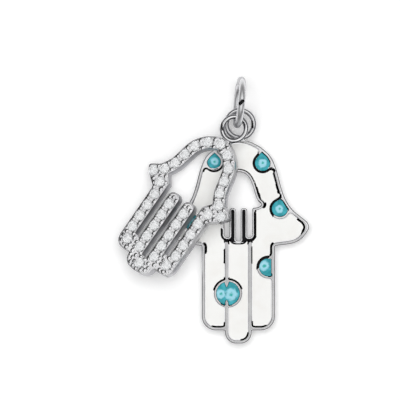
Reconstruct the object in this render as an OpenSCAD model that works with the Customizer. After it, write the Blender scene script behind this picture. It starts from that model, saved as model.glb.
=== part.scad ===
// Hamsa pendant: an enamelled hand and a smaller stone-set hand on one jump ring, lying flat.
// Millimetres. X points to the right of the enamelled hand, Y towards the jump ring, Z up.
// The origin is on the flat back of the enamelled hand, on its axis, where its fingers begin.
// Tables of shares are multiplied by the named sizes, so each outline follows its hand.

/* [Enamelled hand] */
// Width from one thumb tip to the other
hand_w = 13.8; // [12.5:0.1:15]
// Height of the palm above the line where the fingers begin
palm_h = 10.2; // [9.4:0.1:11]
// Width across all three fingers
fingers_w = 7.1; // [6.6:0.05:7.6]
// Width of the middle finger over its walls
middle_w = 2.6; // [2.4:0.05:2.9]
// Length of the middle finger
finger_l = 9.5; // [8.8:0.1:10.4]
// How much shorter the outer fingers are
finger_step = 1.27; // [1:0.01:1.6]
// Radius at the tips of the fingers
fingertip_r = 0.95; // [0.7:0.05:1.1]
// Thickness of the plate
plate_t = 1.15; // [1:0.05:1.4]
// Depth of the enamel cells below the rim
cell_depth = 0.55; // [0.4:0.05:0.7]
// Width of the raised rim round the hand
rim_w = 0.34; // [0.26:0.01:0.4]
// Width of the wall between two fingers
wall_w = 0.34; // [0.28:0.01:0.4]
// Smallest corner radius in an outline or an enamel cell
corner_r = 0.1; // [0.06:0.01:0.14]

/* [Window] */
// Width of the window across its fingers
window_w = 2.68; // [2.4:0.02:2.9]
// Width of the window from thumb to thumb
window_thumbs_w = 4.4; // [4:0.1:4.8]
// Height of the window's palm above its own fingers
window_palm_h = 3.45; // [3.1:0.05:3.7]
// Length of the window's middle finger
window_finger_l = 3.15; // [2.9:0.05:3.3]
// How much shorter the window's outer fingers are
window_step = 0.33; // [0.2:0.01:0.45]
// Height of the window above the line where the hand's fingers begin
window_y = 0.45; // [0.35:0.01:0.6]
// Width of the raised rim round the window
window_rim_w = 0.28; // [0.2:0.01:0.34]
// Width of the bars between the window's fingers
bar_w = 0.54; // [0.44:0.01:0.6]

/* [Eyes] */
// Radius of a plain eye
eye_r = 0.76; // [0.65:0.01:0.85]
// Radius of the double eye
double_eye_r = 1.17; // [1:0.01:1.25]
// How deep the notches of the double eye reach
notch_l = 0.62; // [0.4:0.01:0.7]
// Width of those notches at the edge of the eye
notch_w = 0.5; // [0.4:0.01:0.6]
// Width of the silver border round an eye
eye_wall = 0.2; // [0.14:0.01:0.26]
// Radius of the silver that fills the corners between an eye's border and the rim
eye_fill_r = 0.28; // [0.16:0.02:0.32]
// Radius of the pupil inside the light ring
pupil_r = 0.17; // [0.12:0.01:0.22]
// Width of the light ring
iris_w = 0.23; // [0.16:0.01:0.28]
// Depth of the light ring
iris_t = 0.14; // [0.1:0.01:0.2]

/* [Enamel] */
// How far the white enamel lies below the rim
enamel_drop = 0.14; // [0.08:0.01:0.2]
// Gap between an enamel and what holds it
enamel_gap = 0.02; // [0.015:0.005:0.03]

/* [Stone-set hand] */
// Diameter of a stone at its girdle
stone_d = 1; // [0.85:0.01:1.1]
// Metal left beside a stone
stone_edge = 0.1; // [0.08:0.01:0.16]
// Gap between a stone and its seat
seat_gap = 0.02; // [0.015:0.005:0.03]
// Diameter of a grain of metal, where it has room between its stones
grain_d = 0.4; // [0.3:0.01:0.44]
// Gap between a stone and the grains beside it
grain_gap = 0.04; // [0.03:0.01:0.06]
// Thickness of the stone-set hand
stone_hand_t = 1.4; // [1.25:0.05:1.6]
// Width of the slots between its fingers
slot_w = 0.58; // [0.5:0.02:0.66]
// Height of its palm, from the top of the arch to the foot of the thumbs
stone_palm_h = 7.3; // [6.9:0.1:7.7]
// Length of its outer fingers below the thumbs
stone_finger_l = 6.9; // [6.5:0.05:7.2]
// How far its middle fingertip reaches past the outer ones
stone_tip = 1.1; // [0.95:0.05:1.25]
// Height of the band that joins the fingers at their tips
foot_h = 1.85; // [1.7:0.05:2]
// Reach of a thumb beyond the outer finger
thumb_reach = 1.55; // [1.3:0.05:1.8]

/* [Ring and loops] */
// Wire of the jump ring
ring_wire = 0.7; // [0.6:0.02:0.74]
// Outer diameter of the jump ring
ring_d = 5; // [4.9:0.05:5.3]
// Wire of the two loops
loop_wire = 0.47; // [0.4:0.01:0.5]
// Outer diameter of the loop on the enamelled hand
back_loop_d = 3.1; // [3:0.05:3.3]
// Outer diameter of the loop on the stone-set hand
front_loop_d = 2.84; // [2.75:0.01:3]
// How far a loop is let into the edge of its hand
loop_sink = 0.05; // [0.02:0.01:0.1]
// Width of the solder at the foot of a loop
solder_w = 1.7; // [1.4:0.1:2]
// How far the solder reaches over its hand
solder_l = 0.3; // [0.2:0.02:0.36]

/* [How the pendant lies] */
// How far the stone-set hand has swung round the ring, in degrees
fan = 34.5; // [33:0.5:36]
// Sideways place of the loop on the enamelled hand
back_loop_x = 0.17; // [0:0.01:0.25]
// Sideways place of the loop on the stone-set hand
front_loop_x = -0.41; // [-0.5:0.01:-0.35]
// How much lower the stone-set hand's loop lies than the other one
front_loop_drop = 0.45; // [0.4:0.01:0.52]
// Sideways place of the jump ring
ring_x = 0.09; // [0:0.01:0.12]
// Turn of the jump ring about the upright, in degrees
ring_turn = 5.6; // [3:0.1:8]
// Lean of the jump ring off the upright, in degrees
ring_lean = 5.6; // [3:0.1:7]
// Clear space between the jump ring and each loop where they come nearest
link_gap = 0.09; // [0.08:0.01:0.12]
// Clear space where the stone-set hand lies on the other hand
rest_gap = 0.05; // [0.04:0.01:0.08]

/* [Hidden] */
$fn = 48;
// Sides of a full circle at a small corner, and points in one span of a curve
CORNER_SIDES = 24;
SPAN_STEPS = 3;
// Extra length that carries a cut clear of a face
CUT = 0.5;

STONE_COUNT = 36;
EYES = ["crown_left", "crown_right", "thumb_left", "thumb_right", "finger", "double"];
IRISES = ["crown_left", "crown_right", "thumb_left", "thumb_right", "finger", "double_left", "double_right"];

function stone_name(i) = str("stone_", i < 9 ? "0" : "", i + 1);

// Right side of the palm from its top down to the fingers.
// Columns: share of half of hand_w across, share of palm_h up
PALM = [
    [0, 1], [0.145, 0.986], [0.29, 0.94], [0.385, 0.89], [0.46, 0.835], [0.525, 0.74],
    [0.568, 0.635], [0.606, 0.54], [0.66, 0.44], [0.745, 0.35], [0.845, 0.288], [0.94, 0.238],
    [0.99, 0.2], [1, 0.165], [0.965, 0.125], [0.9, 0.07], [0.81, 0.028], [0.7, 0.008],
    [0.6, 0], [0.5, -0.01]
];

// Right side of the window above its fingers.
// Columns: share of half of window_thumbs_w across, share of window_palm_h up
WINDOW = [
    [0, 1], [0.25, 0.965], [0.43, 0.87], [0.56, 0.72], [0.66, 0.53], [0.74, 0.35],
    [0.85, 0.2], [1, 0.1], [0.88, 0.035], [0.7, 0.01], [0.5, 0]
];

// Eyes on the palm and thumbs, in the order of EYES.
// Columns: share of half of hand_w across, share of palm_h up, share of eye_r,
// reach of the upper point in radii (0 for a round eye)
PALM_EYES = [
    [-0.34, 0.789, 0.9, 1.4],
    [0.34, 0.777, 1, 1.58],
    [-0.652, 0.218, 1.03, 0],
    [0.58, 0.345, 1.04, 1.18]
];
// Eyes on the fingers. Columns: share of half of fingers_w across, share of finger_l down,
// radius, reach of the upper point
FINGER_EYES = [
    [0.808, 0.224, 1.16 * eye_r, 0],
    [-0.282, 0.489, double_eye_r, 0]
];
DOUBLE = 5;

// Light rings in the order of IRISES.
// Columns: number of the eye, offset across and up in radii of that eye, share of the full ring
IRIS_PLACES = [
    [0, 0.04, 0.04, 1], [1, 0, 0, 1.08], [2, 0, 0, 1], [3, -0.06, -0.02, 1],
    [4, -0.42, 0.2, 1], [5, -0.6, -0.03, 0.92], [5, 0.25, -0.08, 1.15]
];

// Stones along the arch, from its top to the thumb's root.
// Columns: share of the way to the outer finger's middle line, share of stone_palm_h down
ARCH = [[0, 0], [0.442, 0.072], [0.768, 0.212], [0.906, 0.38], [1.019, 0.545], [1.236, 0.685]];
// Edge of a thumb from the arch down to the finger.
// Columns: share of thumb_reach beyond the finger, share of stone_palm_h below the top of the arch
THUMB = [
    [0, 0.615], [0.21, 0.7], [0.5, 0.753], [0.86, 0.795], [1, 0.836],
    [0.89, 0.884], [0.63, 0.938], [0.34, 0.993], [0, 1.045]
];
// Corner between the arch and the finger inside the palm, in the same shares
NOTCH = [-0.38, 0.8];
// How far down the finger's inner edge the notch opens, as a share of stone_palm_h
NOTCH_FOOT = 0.9;
// Stones of a thumb and of its root, in the shares of THUMB
THUMB_STONE = [0.57, 0.87];
ROOT_STONE = [-0.21, 0.945];
FINGER_STONES = 5;
// First and last stone of a finger, in stone diameters from the thumb's foot and from the fingertip
FIRST_STONE = 0.87;
LAST_STONE = 1.03;
// How far the last stone of an outer finger is set inwards, in stone diameters
LAST_STONE_IN = 0.28;
// Stone at the middle fingertip, in stone diameters below the outer fingertips
TIP_STONE = 0.25;
// Top of an inner finger above the thumb's foot, in stone diameters
INNER_TOP = 0.42;
// Corner radius of the outer and middle fingertips, as shares of a finger's width
OUTER_TIP_R = 0.8;
MIDDLE_TIP_R = 0.9;
// Foot of the middle slot above the outer fingertips, as a share of foot_h
MIDDLE_SLOT_FOOT = 0.3;
// Grains at the fingertips. Columns: across and up from the outer fingertips' line, in stone diameters
TIP_GRAINS = [[0.76, 0.17], [1.32, 0.36], [2.05, 0.3], [0.46, -0.8]];

// Cut of a stone: heights and radii as shares of its diameter
TABLE_R = 0.28;
TABLE_Z = 0.15;
STAR_R = 0.39;
STAR_Z = 0.09;
GIRDLE_T = 0.03;
LOWER_R = 0.13;
LOWER_Z = 0.33;
CULET_Z = 0.46;
MAINS = 8;
// How deep the upper edge of the girdle lies below the hand's face, as a share of the diameter
SET_DEPTH = 0.03;
// How far the solder rises above the middle of its loop, as a share of the loop's wire
SOLDER_TOP = 0.35;
// Grains stand off the middle line of their strip by this share of its width
GRAIN_OFF = 0.31;

// Curves and tables

// Point on a smooth curve between b and c, whose neighbours are a and d
function bend(a, b, c, d, t) =
    (2 * b + (c - a) * t + (2 * a - 5 * b + 4 * c - d) * t * t + (3 * b - a - 3 * c + d) * t * t * t) / 2;
// Points of a smooth curve through all the points of p
function curve(p) = [
    for (i = [0 : len(p) - 2])
        for (k = [0 : SPAN_STEPS - 1])
            bend(p[max(i - 1, 0)], p[i], p[i + 1], p[min(i + 2, len(p) - 1)], k / SPAN_STEPS),
    p[len(p) - 1]
];
function reversed(p) = [for (i = [len(p) - 1 : -1 : 0]) p[i]];
function mirrored(p) = [for (point = p) [-point.x, point.y]];
// The left side of a path that starts on the axis, then its right side
function both_sides(p) = concat(reversed(mirrored(p)), [for (i = [1 : len(p) - 1]) p[i]]);
function sized(rows, w, h) = [for (row = rows) [row.x * w, row.y * h]];
// Points of a path moved sideways by d
function beside(p, d) = [
    for (i = [0 : len(p) - 1])
        let (along = p[min(i + 1, len(p) - 1)] - p[max(i - 1, 0)])
            p[i] + d * [-along.y, along.x] / norm(along)
];

// Flat shapes

// Rounds the inner and outer corners of a flat shape
module soften(r) {
    offset(r = r, $fn = CORNER_SIDES)
        offset(r = -2 * r, $fn = CORNER_SIDES)
            offset(r = r, $fn = CORNER_SIDES)
                children();
}

// A strip from top down to tip, with round corners at the tip
module tongue(w, top, tip, r) {
    translate([-w / 2, tip + r])
        square([w, top - tip - r]);
    translate([-w / 2 + r, tip])
        square([w - 2 * r, top - tip]);
    for (side = [-1, 1])
        translate([side * (w / 2 - r), tip + r])
            circle(r);
}

// A strip with a round top
module post(w, top, foot) {
    translate([-w / 2, foot])
        square([w, top - foot - w / 2]);
    translate([0, top - w / 2])
        circle(w / 2);
}

// Enamelled hand

palm_path = curve(both_sides(sized(PALM, hand_w / 2, palm_h)));
// Middle line of the wall between the middle finger and an outer one
wall_x = (middle_w - wall_w) / 2;

module hand_outline() {
    soften(corner_r) {
        polygon(palm_path);
        tongue(fingers_w, rim_w, finger_step - finger_l, fingertip_r);
        tongue(middle_w, rim_w, -finger_l, fingertip_r);
    }
}

// Everything inside the hand's rim
module inside_rim() {
    offset(delta = -rim_w)
        hand_outline();
}

module finger_walls() {
    for (side = [-1, 1])
        translate([side * wall_x - wall_w / 2, -finger_l])
            square([wall_w, finger_l + window_y + window_step]);
}

// Window

window_slot_w = (window_w - 2 * bar_w) / 3;
window_bar_x = (window_slot_w + bar_w) / 2;
window_thumbs_y = window_y + window_finger_l;

// The window with its bars filled in
module window_outline() {
    translate([0, window_thumbs_y])
        polygon(curve(both_sides(sized(WINDOW, window_thumbs_w / 2, window_palm_h))));
    tongue(window_w, window_thumbs_y + CUT, window_y + window_step, window_slot_w / 2);
    tongue(window_slot_w + bar_w, window_thumbs_y + CUT, window_y, window_slot_w / 2);
}

module window_hole() {
    soften(window_slot_w / 4)
        difference() {
            window_outline();
            for (side = [-1, 1])
                translate([side * window_bar_x, 0])
                    post(bar_w, window_thumbs_y, 0);
        }
}

// Eyes

// Centre of an eye
function eye_at(i) =
    i < len(PALM_EYES)
        ? [PALM_EYES[i][0] * hand_w / 2, PALM_EYES[i][1] * palm_h]
        : let (row = FINGER_EYES[i - len(PALM_EYES)]) [row[0] * fingers_w / 2, -row[1] * finger_l];
function eye_radius(i) =
    i < len(PALM_EYES) ? PALM_EYES[i][2] * eye_r : FINGER_EYES[i - len(PALM_EYES)][2];
function eye_point(i) = i < len(PALM_EYES) ? PALM_EYES[i][3] : 0;

// A circle, drawn out to a point on top where reach is more than 1 radius
module drop(r, reach) {
    circle(r);
    if (reach > 1) {
        away = acos(1 / reach);
        polygon([[0, reach * r], [r * sin(away), r * cos(away)], [-r * sin(away), r * cos(away)]]);
    }
}

// Notches at the top and foot of the double eye, where the wall between two fingers meets it
module double_notches() {
    for (side = [-1, 1])
        translate([-wall_x, eye_at(DOUBLE).y])
            polygon([
                [-notch_w / 2, side * (double_eye_r + eye_wall / 2)],
                [notch_w / 2, side * (double_eye_r + eye_wall / 2)],
                [0, side * (double_eye_r - notch_l)]
            ]);
}

module eye_cell(i) {
    soften(corner_r / 2)
        intersection() {
            difference() {
                translate(eye_at(i))
                    drop(eye_radius(i), eye_point(i));
                if (i == DOUBLE)
                    double_notches();
            }
            inside_rim();
        }
}

// The hand's rim and the silver round the eyes, which also fills the corners between the two
module rim_and_borders() {
    offset(r = -eye_fill_r, $fn = CORNER_SIDES)
        offset(delta = eye_fill_r) {
            for (i = [0 : len(EYES) - 1])
                if (i != DOUBLE)
                    offset(r = eye_wall, $fn = CORNER_SIDES)
                        eye_cell(i);
            difference() {
                hand_outline();
                inside_rim();
            }
        }
    translate(eye_at(DOUBLE))
        circle(double_eye_r + eye_wall);
}

// Cells for the white enamel

module enamel_area() {
    difference() {
        offset(delta = -rim_w / 2)
            hand_outline();
        rim_and_borders();
        offset(r = window_rim_w, $fn = CORNER_SIDES)
            window_outline();
        finger_walls();
    }
}

// The strip that holds the middle finger's cell
module middle_strip() {
    translate([-wall_x, -finger_l])
        square([2 * wall_x, finger_l + window_y + window_step]);
}

module palm_cell() {
    soften(corner_r)
        difference() {
            enamel_area();
            middle_strip();
        }
}

module finger_cell() {
    soften(corner_r)
        intersection() {
            enamel_area();
            middle_strip();
        }
}

// Solids of the enamelled hand

cell_floor = plate_t - cell_depth;
eye_top = plate_t;

// Fills a flat cell, clear of its floor and walls, up to the height top
module fill(top) {
    translate([0, 0, cell_floor + enamel_gap])
        linear_extrude(top - cell_floor - enamel_gap)
            offset(delta = -enamel_gap)
                children();
}

// Light ring of an eye, grown on every side by grow and open on top where that is more than 0
module iris_ring(i, grow = 0) {
    place = IRIS_PLACES[i];
    size = place[3];
    lift = grow > 0 ? CUT : 0;
    translate(concat(eye_at(place[0]) + eye_radius(place[0]) * [place[1], place[2]], eye_top - iris_t - grow))
        difference() {
            cylinder(h = iris_t + grow + lift, r = size * (pupil_r + iris_w) + grow);
            translate([0, 0, -CUT])
                cylinder(h = iris_t + 3 * CUT, r = size * pupil_r - grow);
        }
}

module hand_plate() {
    color("silver") {
        difference() {
            linear_extrude(plate_t)
                hand_outline();
            translate([0, 0, -CUT])
                linear_extrude(plate_t + 2 * CUT)
                    window_hole();
            translate([0, 0, cell_floor])
                linear_extrude(cell_depth + CUT) {
                    palm_cell();
                    finger_cell();
                    for (i = [0 : len(EYES) - 1])
                        eye_cell(i);
                }
        }
        translate([back_loop_x, back_loop_y, back_loop_z])
            wire_ring(back_loop_d, loop_wire);
        translate([back_loop_x, palm_h, 0])
            solder(cell_floor, back_loop_z);
    }
}

module palm_enamel() {
    color("white")
        fill(plate_t - enamel_drop)
            palm_cell();
}

module finger_enamel() {
    color("white")
        fill(plate_t - enamel_drop)
            finger_cell();
}

module eye(i) {
    color("darkcyan")
        difference() {
            fill(eye_top)
                eye_cell(i);
            for (k = [0 : len(IRISES) - 1])
                if (IRIS_PLACES[k][0] == i)
                    iris_ring(k, enamel_gap);
        }
}

module iris(i) {
    color("lightblue")
        iris_ring(i);
}

// Stone-set hand, in its own frame: the origin is the middle of its loop, on its back

strip_w = stone_d + 2 * stone_edge;
inner_x = (slot_w + strip_w) / 2;
outer_x = inner_x + slot_w + strip_w;
outer_edge = outer_x + strip_w / 2;
arch_top = loop_sink - front_loop_d / 2;
arch_y = arch_top - strip_w / 2;
thumb_foot = arch_top - stone_palm_h;
outer_tip = thumb_foot - stone_finger_l;
inner_top = thumb_foot + INNER_TOP * stone_d;
middle_tip = outer_tip - stone_tip;

arch_side = [for (row = ARCH) [row.x * outer_x, arch_y - row.y * stone_palm_h]];
function at_thumb(row) = [outer_edge + row.x * thumb_reach, arch_top - row.y * stone_palm_h];
thumb_path = concat(
    curve([for (row = THUMB) at_thumb(row)]),
    [
        [outer_x - strip_w / 2, at_thumb(THUMB[len(THUMB) - 1]).y],
        [outer_x - strip_w / 2, arch_top - NOTCH_FOOT * stone_palm_h],
        at_thumb(NOTCH)
    ]
);

first_stone_y = thumb_foot - FIRST_STONE * stone_d;
last_stone_y = outer_tip + LAST_STONE * stone_d;
function finger_stone(x, k) = [
    x - (x > inner_x && k == FINGER_STONES - 1 ? LAST_STONE_IN * stone_d : 0),
    first_stone_y + k / (FINGER_STONES - 1) * (last_stone_y - first_stone_y)
];
inner_row = [for (k = [0 : FINGER_STONES - 1]) finger_stone(inner_x, k)];
outer_row = [for (k = [0 : FINGER_STONES - 1]) finger_stone(outer_x, k)];
arch_row = [for (i = [1 : len(arch_side) - 1]) arch_side[i]];
side_stones = concat(arch_row, [at_thumb(THUMB_STONE), at_thumb(ROOT_STONE)], outer_row, inner_row);
tip_stone = [0, outer_tip - TIP_STONE * stone_d];
stones = concat([arch_side[0]], side_stones, mirrored(side_stones), [tip_stone]);

module stone_hand_outline() {
    arch = curve(both_sides(arch_side));
    soften(corner_r) {
        polygon(concat(beside(arch, strip_w / 2), reversed(beside(arch, -strip_w / 2))));
        for (left = [0, 1])
            mirror([left, 0]) {
                polygon(thumb_path);
                translate([outer_x - strip_w / 2, outer_tip + foot_h / 2])
                    square([strip_w, thumb_foot - outer_tip - foot_h / 2]);
                translate([inner_x, 0])
                    post(strip_w, inner_top, outer_tip + foot_h / 2);
            }
        difference() {
            union() {
                tongue(2 * outer_edge, outer_tip + foot_h, outer_tip, OUTER_TIP_R * strip_w);
                tongue(2 * inner_x + strip_w, outer_tip + foot_h, middle_tip, MIDDLE_TIP_R * strip_w);
            }
            translate([-slot_w / 2, outer_tip + MIDDLE_SLOT_FOOT * foot_h])
                square([slot_w, foot_h]);
        }
    }
}

// Place and radius of a grain, which keeps clear of the nearest stone
function grain(at) = [
    at,
    min(grain_d / 2, min([for (stone_at = stones) norm(at - stone_at)]) - stone_d / 2 - grain_gap)
];
// The grain on one side of the line from the stone at a to the stone at b
function grain_beside(a, b, side) =
    let (along = b - a)
        grain((a + b) / 2 + side * GRAIN_OFF * strip_w * [-along.y, along.x] / norm(along));
function grain_pair(a, b) = [for (side = [-1, 1]) grain_beside(a, b, side)];
function grains_along(row) = [
    for (i = [0 : len(row) - 2])
        each grain_pair(row[i], row[i + 1])
];

arch_end = arch_side[len(arch_side) - 1];
side_grains = concat(
    grains_along(arch_side),
    [
        grain_beside(arch_end, at_thumb(THUMB_STONE), 1),
        grain_beside(at_thumb(THUMB_STONE), at_thumb(ROOT_STONE), 1),
        grain_beside(at_thumb(ROOT_STONE), arch_end, 1)
    ],
    grain_pair(at_thumb(ROOT_STONE), outer_row[0]),
    grains_along(outer_row),
    grain_pair([inner_x, inner_row[0].y + norm(outer_row[1] - outer_row[0])], inner_row[0]),
    grains_along(inner_row),
    [for (row = TIP_GRAINS) grain(row * stone_d + [0, outer_tip])]
);

module grains() {
    for (row = side_grains, side = [-1, 1])
        translate([side * row[0].x, row[0].y, stone_hand_t])
            sphere(row[1], $fn = CORNER_SIDES);
}

girdle_z = stone_hand_t - SET_DEPTH * stone_d;

// Seat of a stone: a cone below the girdle and a straight hole from there up
module seat() {
    r = stone_d / 2 + seat_gap;
    floor_z = -(GIRDLE_T + CULET_Z) * stone_d - seat_gap;
    rim_z = -GIRDLE_T * stone_d - seat_gap;
    rotate_extrude()
        polygon([[0, floor_z], [seat_gap, floor_z], [r, rim_z], [r, CUT], [0, CUT]]);
}

// A ring of round wire, d across outside, flat on its middle plane
module wire_ring(d, wire) {
    rotate_extrude()
        translate([(d - wire) / 2, 0])
            circle(wire / 2);
}

// Solder between a hand and its loop, whose middle plane is at loop_z, from the height low up
module solder(low, loop_z) {
    translate([0, 0, low])
        linear_extrude(loop_z + SOLDER_TOP * loop_wire - low)
            polygon([
                [-solder_w / 2, -solder_l], [solder_w / 2, -solder_l],
                [solder_w / 4, loop_wire / 2], [-solder_w / 4, loop_wire / 2]
            ]);
}

module stone_hand() {
    color("silver")
        lying_hand() {
            difference() {
                linear_extrude(stone_hand_t)
                    stone_hand_outline();
                for (at = stones)
                    translate(concat(at, girdle_z))
                        seat();
            }
            grains();
            translate([0, 0, stone_hand_t / 2])
                wire_ring(front_loop_d, loop_wire);
            translate([0, arch_top, 0])
                solder((stone_hand_t - loop_wire) / 2, stone_hand_t / 2);
        }
}

// A round brilliant: eight-sided table, stars, kites and halves above a girdle, and a pavilion
// below it. The upper edge of the girdle is at height 0.
module brilliant(d) {
    step = 360 / MAINS;
    function ring(r, z, turn, sides) = [
        for (k = [0 : sides - 1])
            let (a = turn + k * 360 / sides)
                [r * d * cos(a), r * d * sin(a), z * d]
    ];
    table = ring(TABLE_R, TABLE_Z, step / 2, MAINS);
    stars = ring(STAR_R, STAR_Z, 0, MAINS);
    upper = ring(1 / 2, 0, 0, 2 * MAINS);
    lower = ring(1 / 2, -GIRDLE_T, 0, 2 * MAINS);
    below = ring(LOWER_R, -GIRDLE_T - LOWER_Z, step / 2, MAINS);
    culet = [[0, 0, -(GIRDLE_T + CULET_Z) * d]];
    t = 0;
    s = t + MAINS;
    u = s + MAINS;
    l = u + 2 * MAINS;
    b = l + 2 * MAINS;
    c = b + MAINS;
    polyhedron(
        points = concat(table, stars, upper, lower, below, culet),
        faces = concat(
            [[for (k = [MAINS - 1 : -1 : 0]) t + k]],
            [
                for (k = [0 : MAINS - 1])
                    let (
                        next = (k + 1) % MAINS,
                        last = (k + MAINS - 1) % MAINS,
                        u0 = 2 * k,
                        u1 = 2 * k + 1,
                        u2 = (2 * k + 2) % (2 * MAINS),
                        before = (2 * k + 2 * MAINS - 1) % (2 * MAINS)
                    )
                    each [
                        [s + k, t + last, t + k],
                        [s + k, t + k, u + u1],
                        [t + k, s + next, u + u1],
                        [s + k, u + u1, u + u0],
                        [s + k, u + u0, u + before],
                        [u + u0, u + u1, l + u1],
                        [u + u0, l + u1, l + u0],
                        [u + u1, u + u2, l + u2],
                        [u + u1, l + u2, l + u1],
                        [l + u0, l + u1, b + k],
                        [l + u1, l + u2, b + k],
                        [l + u2, b + next, b + k],
                        [b + k, b + next, c]
                    ]
            ]
        )
    );
}

module stone(i) {
    color("whitesmoke")
        lying_hand()
            translate(concat(stones[i], girdle_z))
                brilliant(stone_d);
}

// How the pendant lies

back_loop_y = palm_h + back_loop_d / 2 - loop_sink;
front_loop_y = back_loop_y - front_loop_drop;
front_loop_at = [front_loop_x, front_loop_y];

// How far below its middle line the arch may still lie on the other hand, in strip widths
ARCH_REACH = 0.75;
// Place of a point of the floor in the directions of the stone-set hand
function fanned(p) =
    let (from = p - front_loop_at)
        [from.x * cos(fan) - from.y * sin(fan), from.x * sin(fan) + from.y * cos(fan)];
// The stone-set hand lies on the edge of the enamelled hand where its arch crosses that edge
rest_across = min([
    for (p = [for (point = palm_path) fanned(point)])
        if (p.y < arch_top && p.y > arch_y - ARCH_REACH * strip_w)
            p.x
]);
thumb_across = outer_edge + thumb_reach;
// The lean at which one thumb touches the floor and the back clears the other hand's rim
function lean_from(lean, rounds) =
    rounds == 0
        ? lean
        : lean_from(
            asin((plate_t + rest_gap) /
                ((rest_across - stone_hand_t / 2 * sin(lean)) / cos(lean) + thumb_across)),
            rounds - 1
        );
lean = lean_from(15, 8);
front_loop_z = thumb_across * sin(lean) + stone_hand_t / 2 * cos(lean);

ring_r = (ring_d - ring_wire) / 2;
ring_z = ring_r * cos(ring_lean) + ring_wire / 2;
// Where the jump ring's wire passes through the stone-set hand's loop, from the ring's middle
hook_z = front_loop_z - ring_z;
hook_reach = sqrt(ring_r ^ 2 - hook_z ^ 2);
// Sideways from the middle of that loop, and the room there is for the wire round its middle
hook_x = ring_x - hook_reach * sin(ring_turn) + hook_z * sin(ring_lean) - front_loop_x;
hook_room = front_loop_d / 2 - loop_wire - ring_wire / 2 / cos(lean) - link_gap;
ring_y = front_loop_y + sqrt(hook_room ^ 2 - hook_x ^ 2) + hook_reach * cos(ring_turn);

// The other loop's wire passes over the jump ring's, as low as the two wires allow
back_r = (back_loop_d - loop_wire) / 2;
over_ring = ring_r - (ring_wire + loop_wire) / 2 - link_gap;
over_near = ring_y - back_loop_y - back_r;
over_x = ring_x - back_loop_x - over_near * tan(ring_turn)
    - sqrt(over_ring ^ 2 - over_near ^ 2) * tan(ring_lean);
over_y = ring_y - back_loop_y - sqrt(back_r ^ 2 - over_x ^ 2);
back_loop_z = ring_z - sqrt(over_ring ^ 2 - over_y ^ 2);

// Carries the stone-set hand from its own frame to where it lies
module lying_hand() {
    translate([front_loop_x, front_loop_y, front_loop_z])
        rotate([0, 0, -fan])
            rotate([0, -lean, 0])
                translate([0, 0, -stone_hand_t / 2])
                    children();
}

module jump_ring() {
    color("silver")
        translate([ring_x, ring_y, ring_z])
            rotate([0, 0, -ring_turn])
                rotate([0, 90 + ring_lean, 0])
                    wire_ring(ring_d, ring_wire);
}

hand_plate();
palm_enamel();
finger_enamel();
for (i = [0 : len(EYES) - 1])
    eye(i);
for (i = [0 : len(IRISES) - 1])
    iris(i);
stone_hand();
for (i = [0 : STONE_COUNT - 1])
    stone(i);
jump_ring();
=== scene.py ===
"""Hamsa pendant: an enamelled hand and a stone-set hand on one jump ring, lying on a pale table.

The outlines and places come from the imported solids, and every surface is modelled again over
them at full smoothness. Lengths in the classes are millimetres in the frame of the part.
"""

from __future__ import annotations

import logging
import math
from collections.abc import Callable, Iterable, Sequence
from dataclasses import dataclass, field
from enum import Enum
from typing import Any

import bpy
import numpy as np
from mathutils import Matrix, Vector
from mathutils.geometry import delaunay_2d_cdt
from mathutils.kdtree import KDTree

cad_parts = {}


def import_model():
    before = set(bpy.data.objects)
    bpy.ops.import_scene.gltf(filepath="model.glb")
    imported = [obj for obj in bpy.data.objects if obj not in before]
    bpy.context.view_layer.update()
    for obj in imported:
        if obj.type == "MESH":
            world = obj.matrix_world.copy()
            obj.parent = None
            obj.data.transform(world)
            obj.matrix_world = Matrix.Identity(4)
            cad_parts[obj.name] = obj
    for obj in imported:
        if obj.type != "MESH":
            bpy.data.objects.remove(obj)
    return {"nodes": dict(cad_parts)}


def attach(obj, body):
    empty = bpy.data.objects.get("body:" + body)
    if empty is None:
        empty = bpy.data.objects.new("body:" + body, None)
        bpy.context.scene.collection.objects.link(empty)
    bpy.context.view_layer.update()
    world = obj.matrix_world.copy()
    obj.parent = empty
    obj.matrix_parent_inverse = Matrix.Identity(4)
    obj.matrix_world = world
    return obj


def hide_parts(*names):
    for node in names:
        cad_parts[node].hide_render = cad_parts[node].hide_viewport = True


LOG = logging.getLogger("pendant")
BODY = "root"
MM = 0.001

# Short names for types: a flat place, a place in space, heights at flat places, heights from flat
# places and their distances from an edge, and a choice of faces from their middles and normals
Array = np.ndarray
Material = bpy.types.Material
Piece = bpy.types.Object
Colour = tuple[float, float, float, float]
Place = tuple[float, float]
Spot = tuple[float, float, float]
Height = Callable[[Array], Array]
Dome = Callable[[Array, Array], Array]
Chooser = Callable[[Array, Array], Array]


class Slot(Enum):
    """The record's material slots."""

    SILVER = "silver"
    WHITE = "white_enamel"
    TEAL = "teal_enamel"
    STONE = "clear_stone"


class Side(Enum):
    """The two sides of a line."""

    LEFT = 1
    RIGHT = -1


class Facing(Enum):
    """Which way a flat face looks."""

    UP = 1
    DOWN = -1


class Way(Enum):
    """Which extent of a filed slope is meant, by the name that a Scoop has for it."""

    DOWN = "width"
    BACK = "back"


# Shader graphs

# Numbers of the Mix node's sockets for colours
MIX_SHARE, MIX_FIRST, MIX_SECOND, MIX_RESULT = 0, 6, 7, 2
# Constants of the sRGB curve
SRGB_KNEE, SRGB_SLOPE, SRGB_OFFSET, SRGB_POWER = 0.04045, 12.92, 0.055, 2.4


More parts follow.
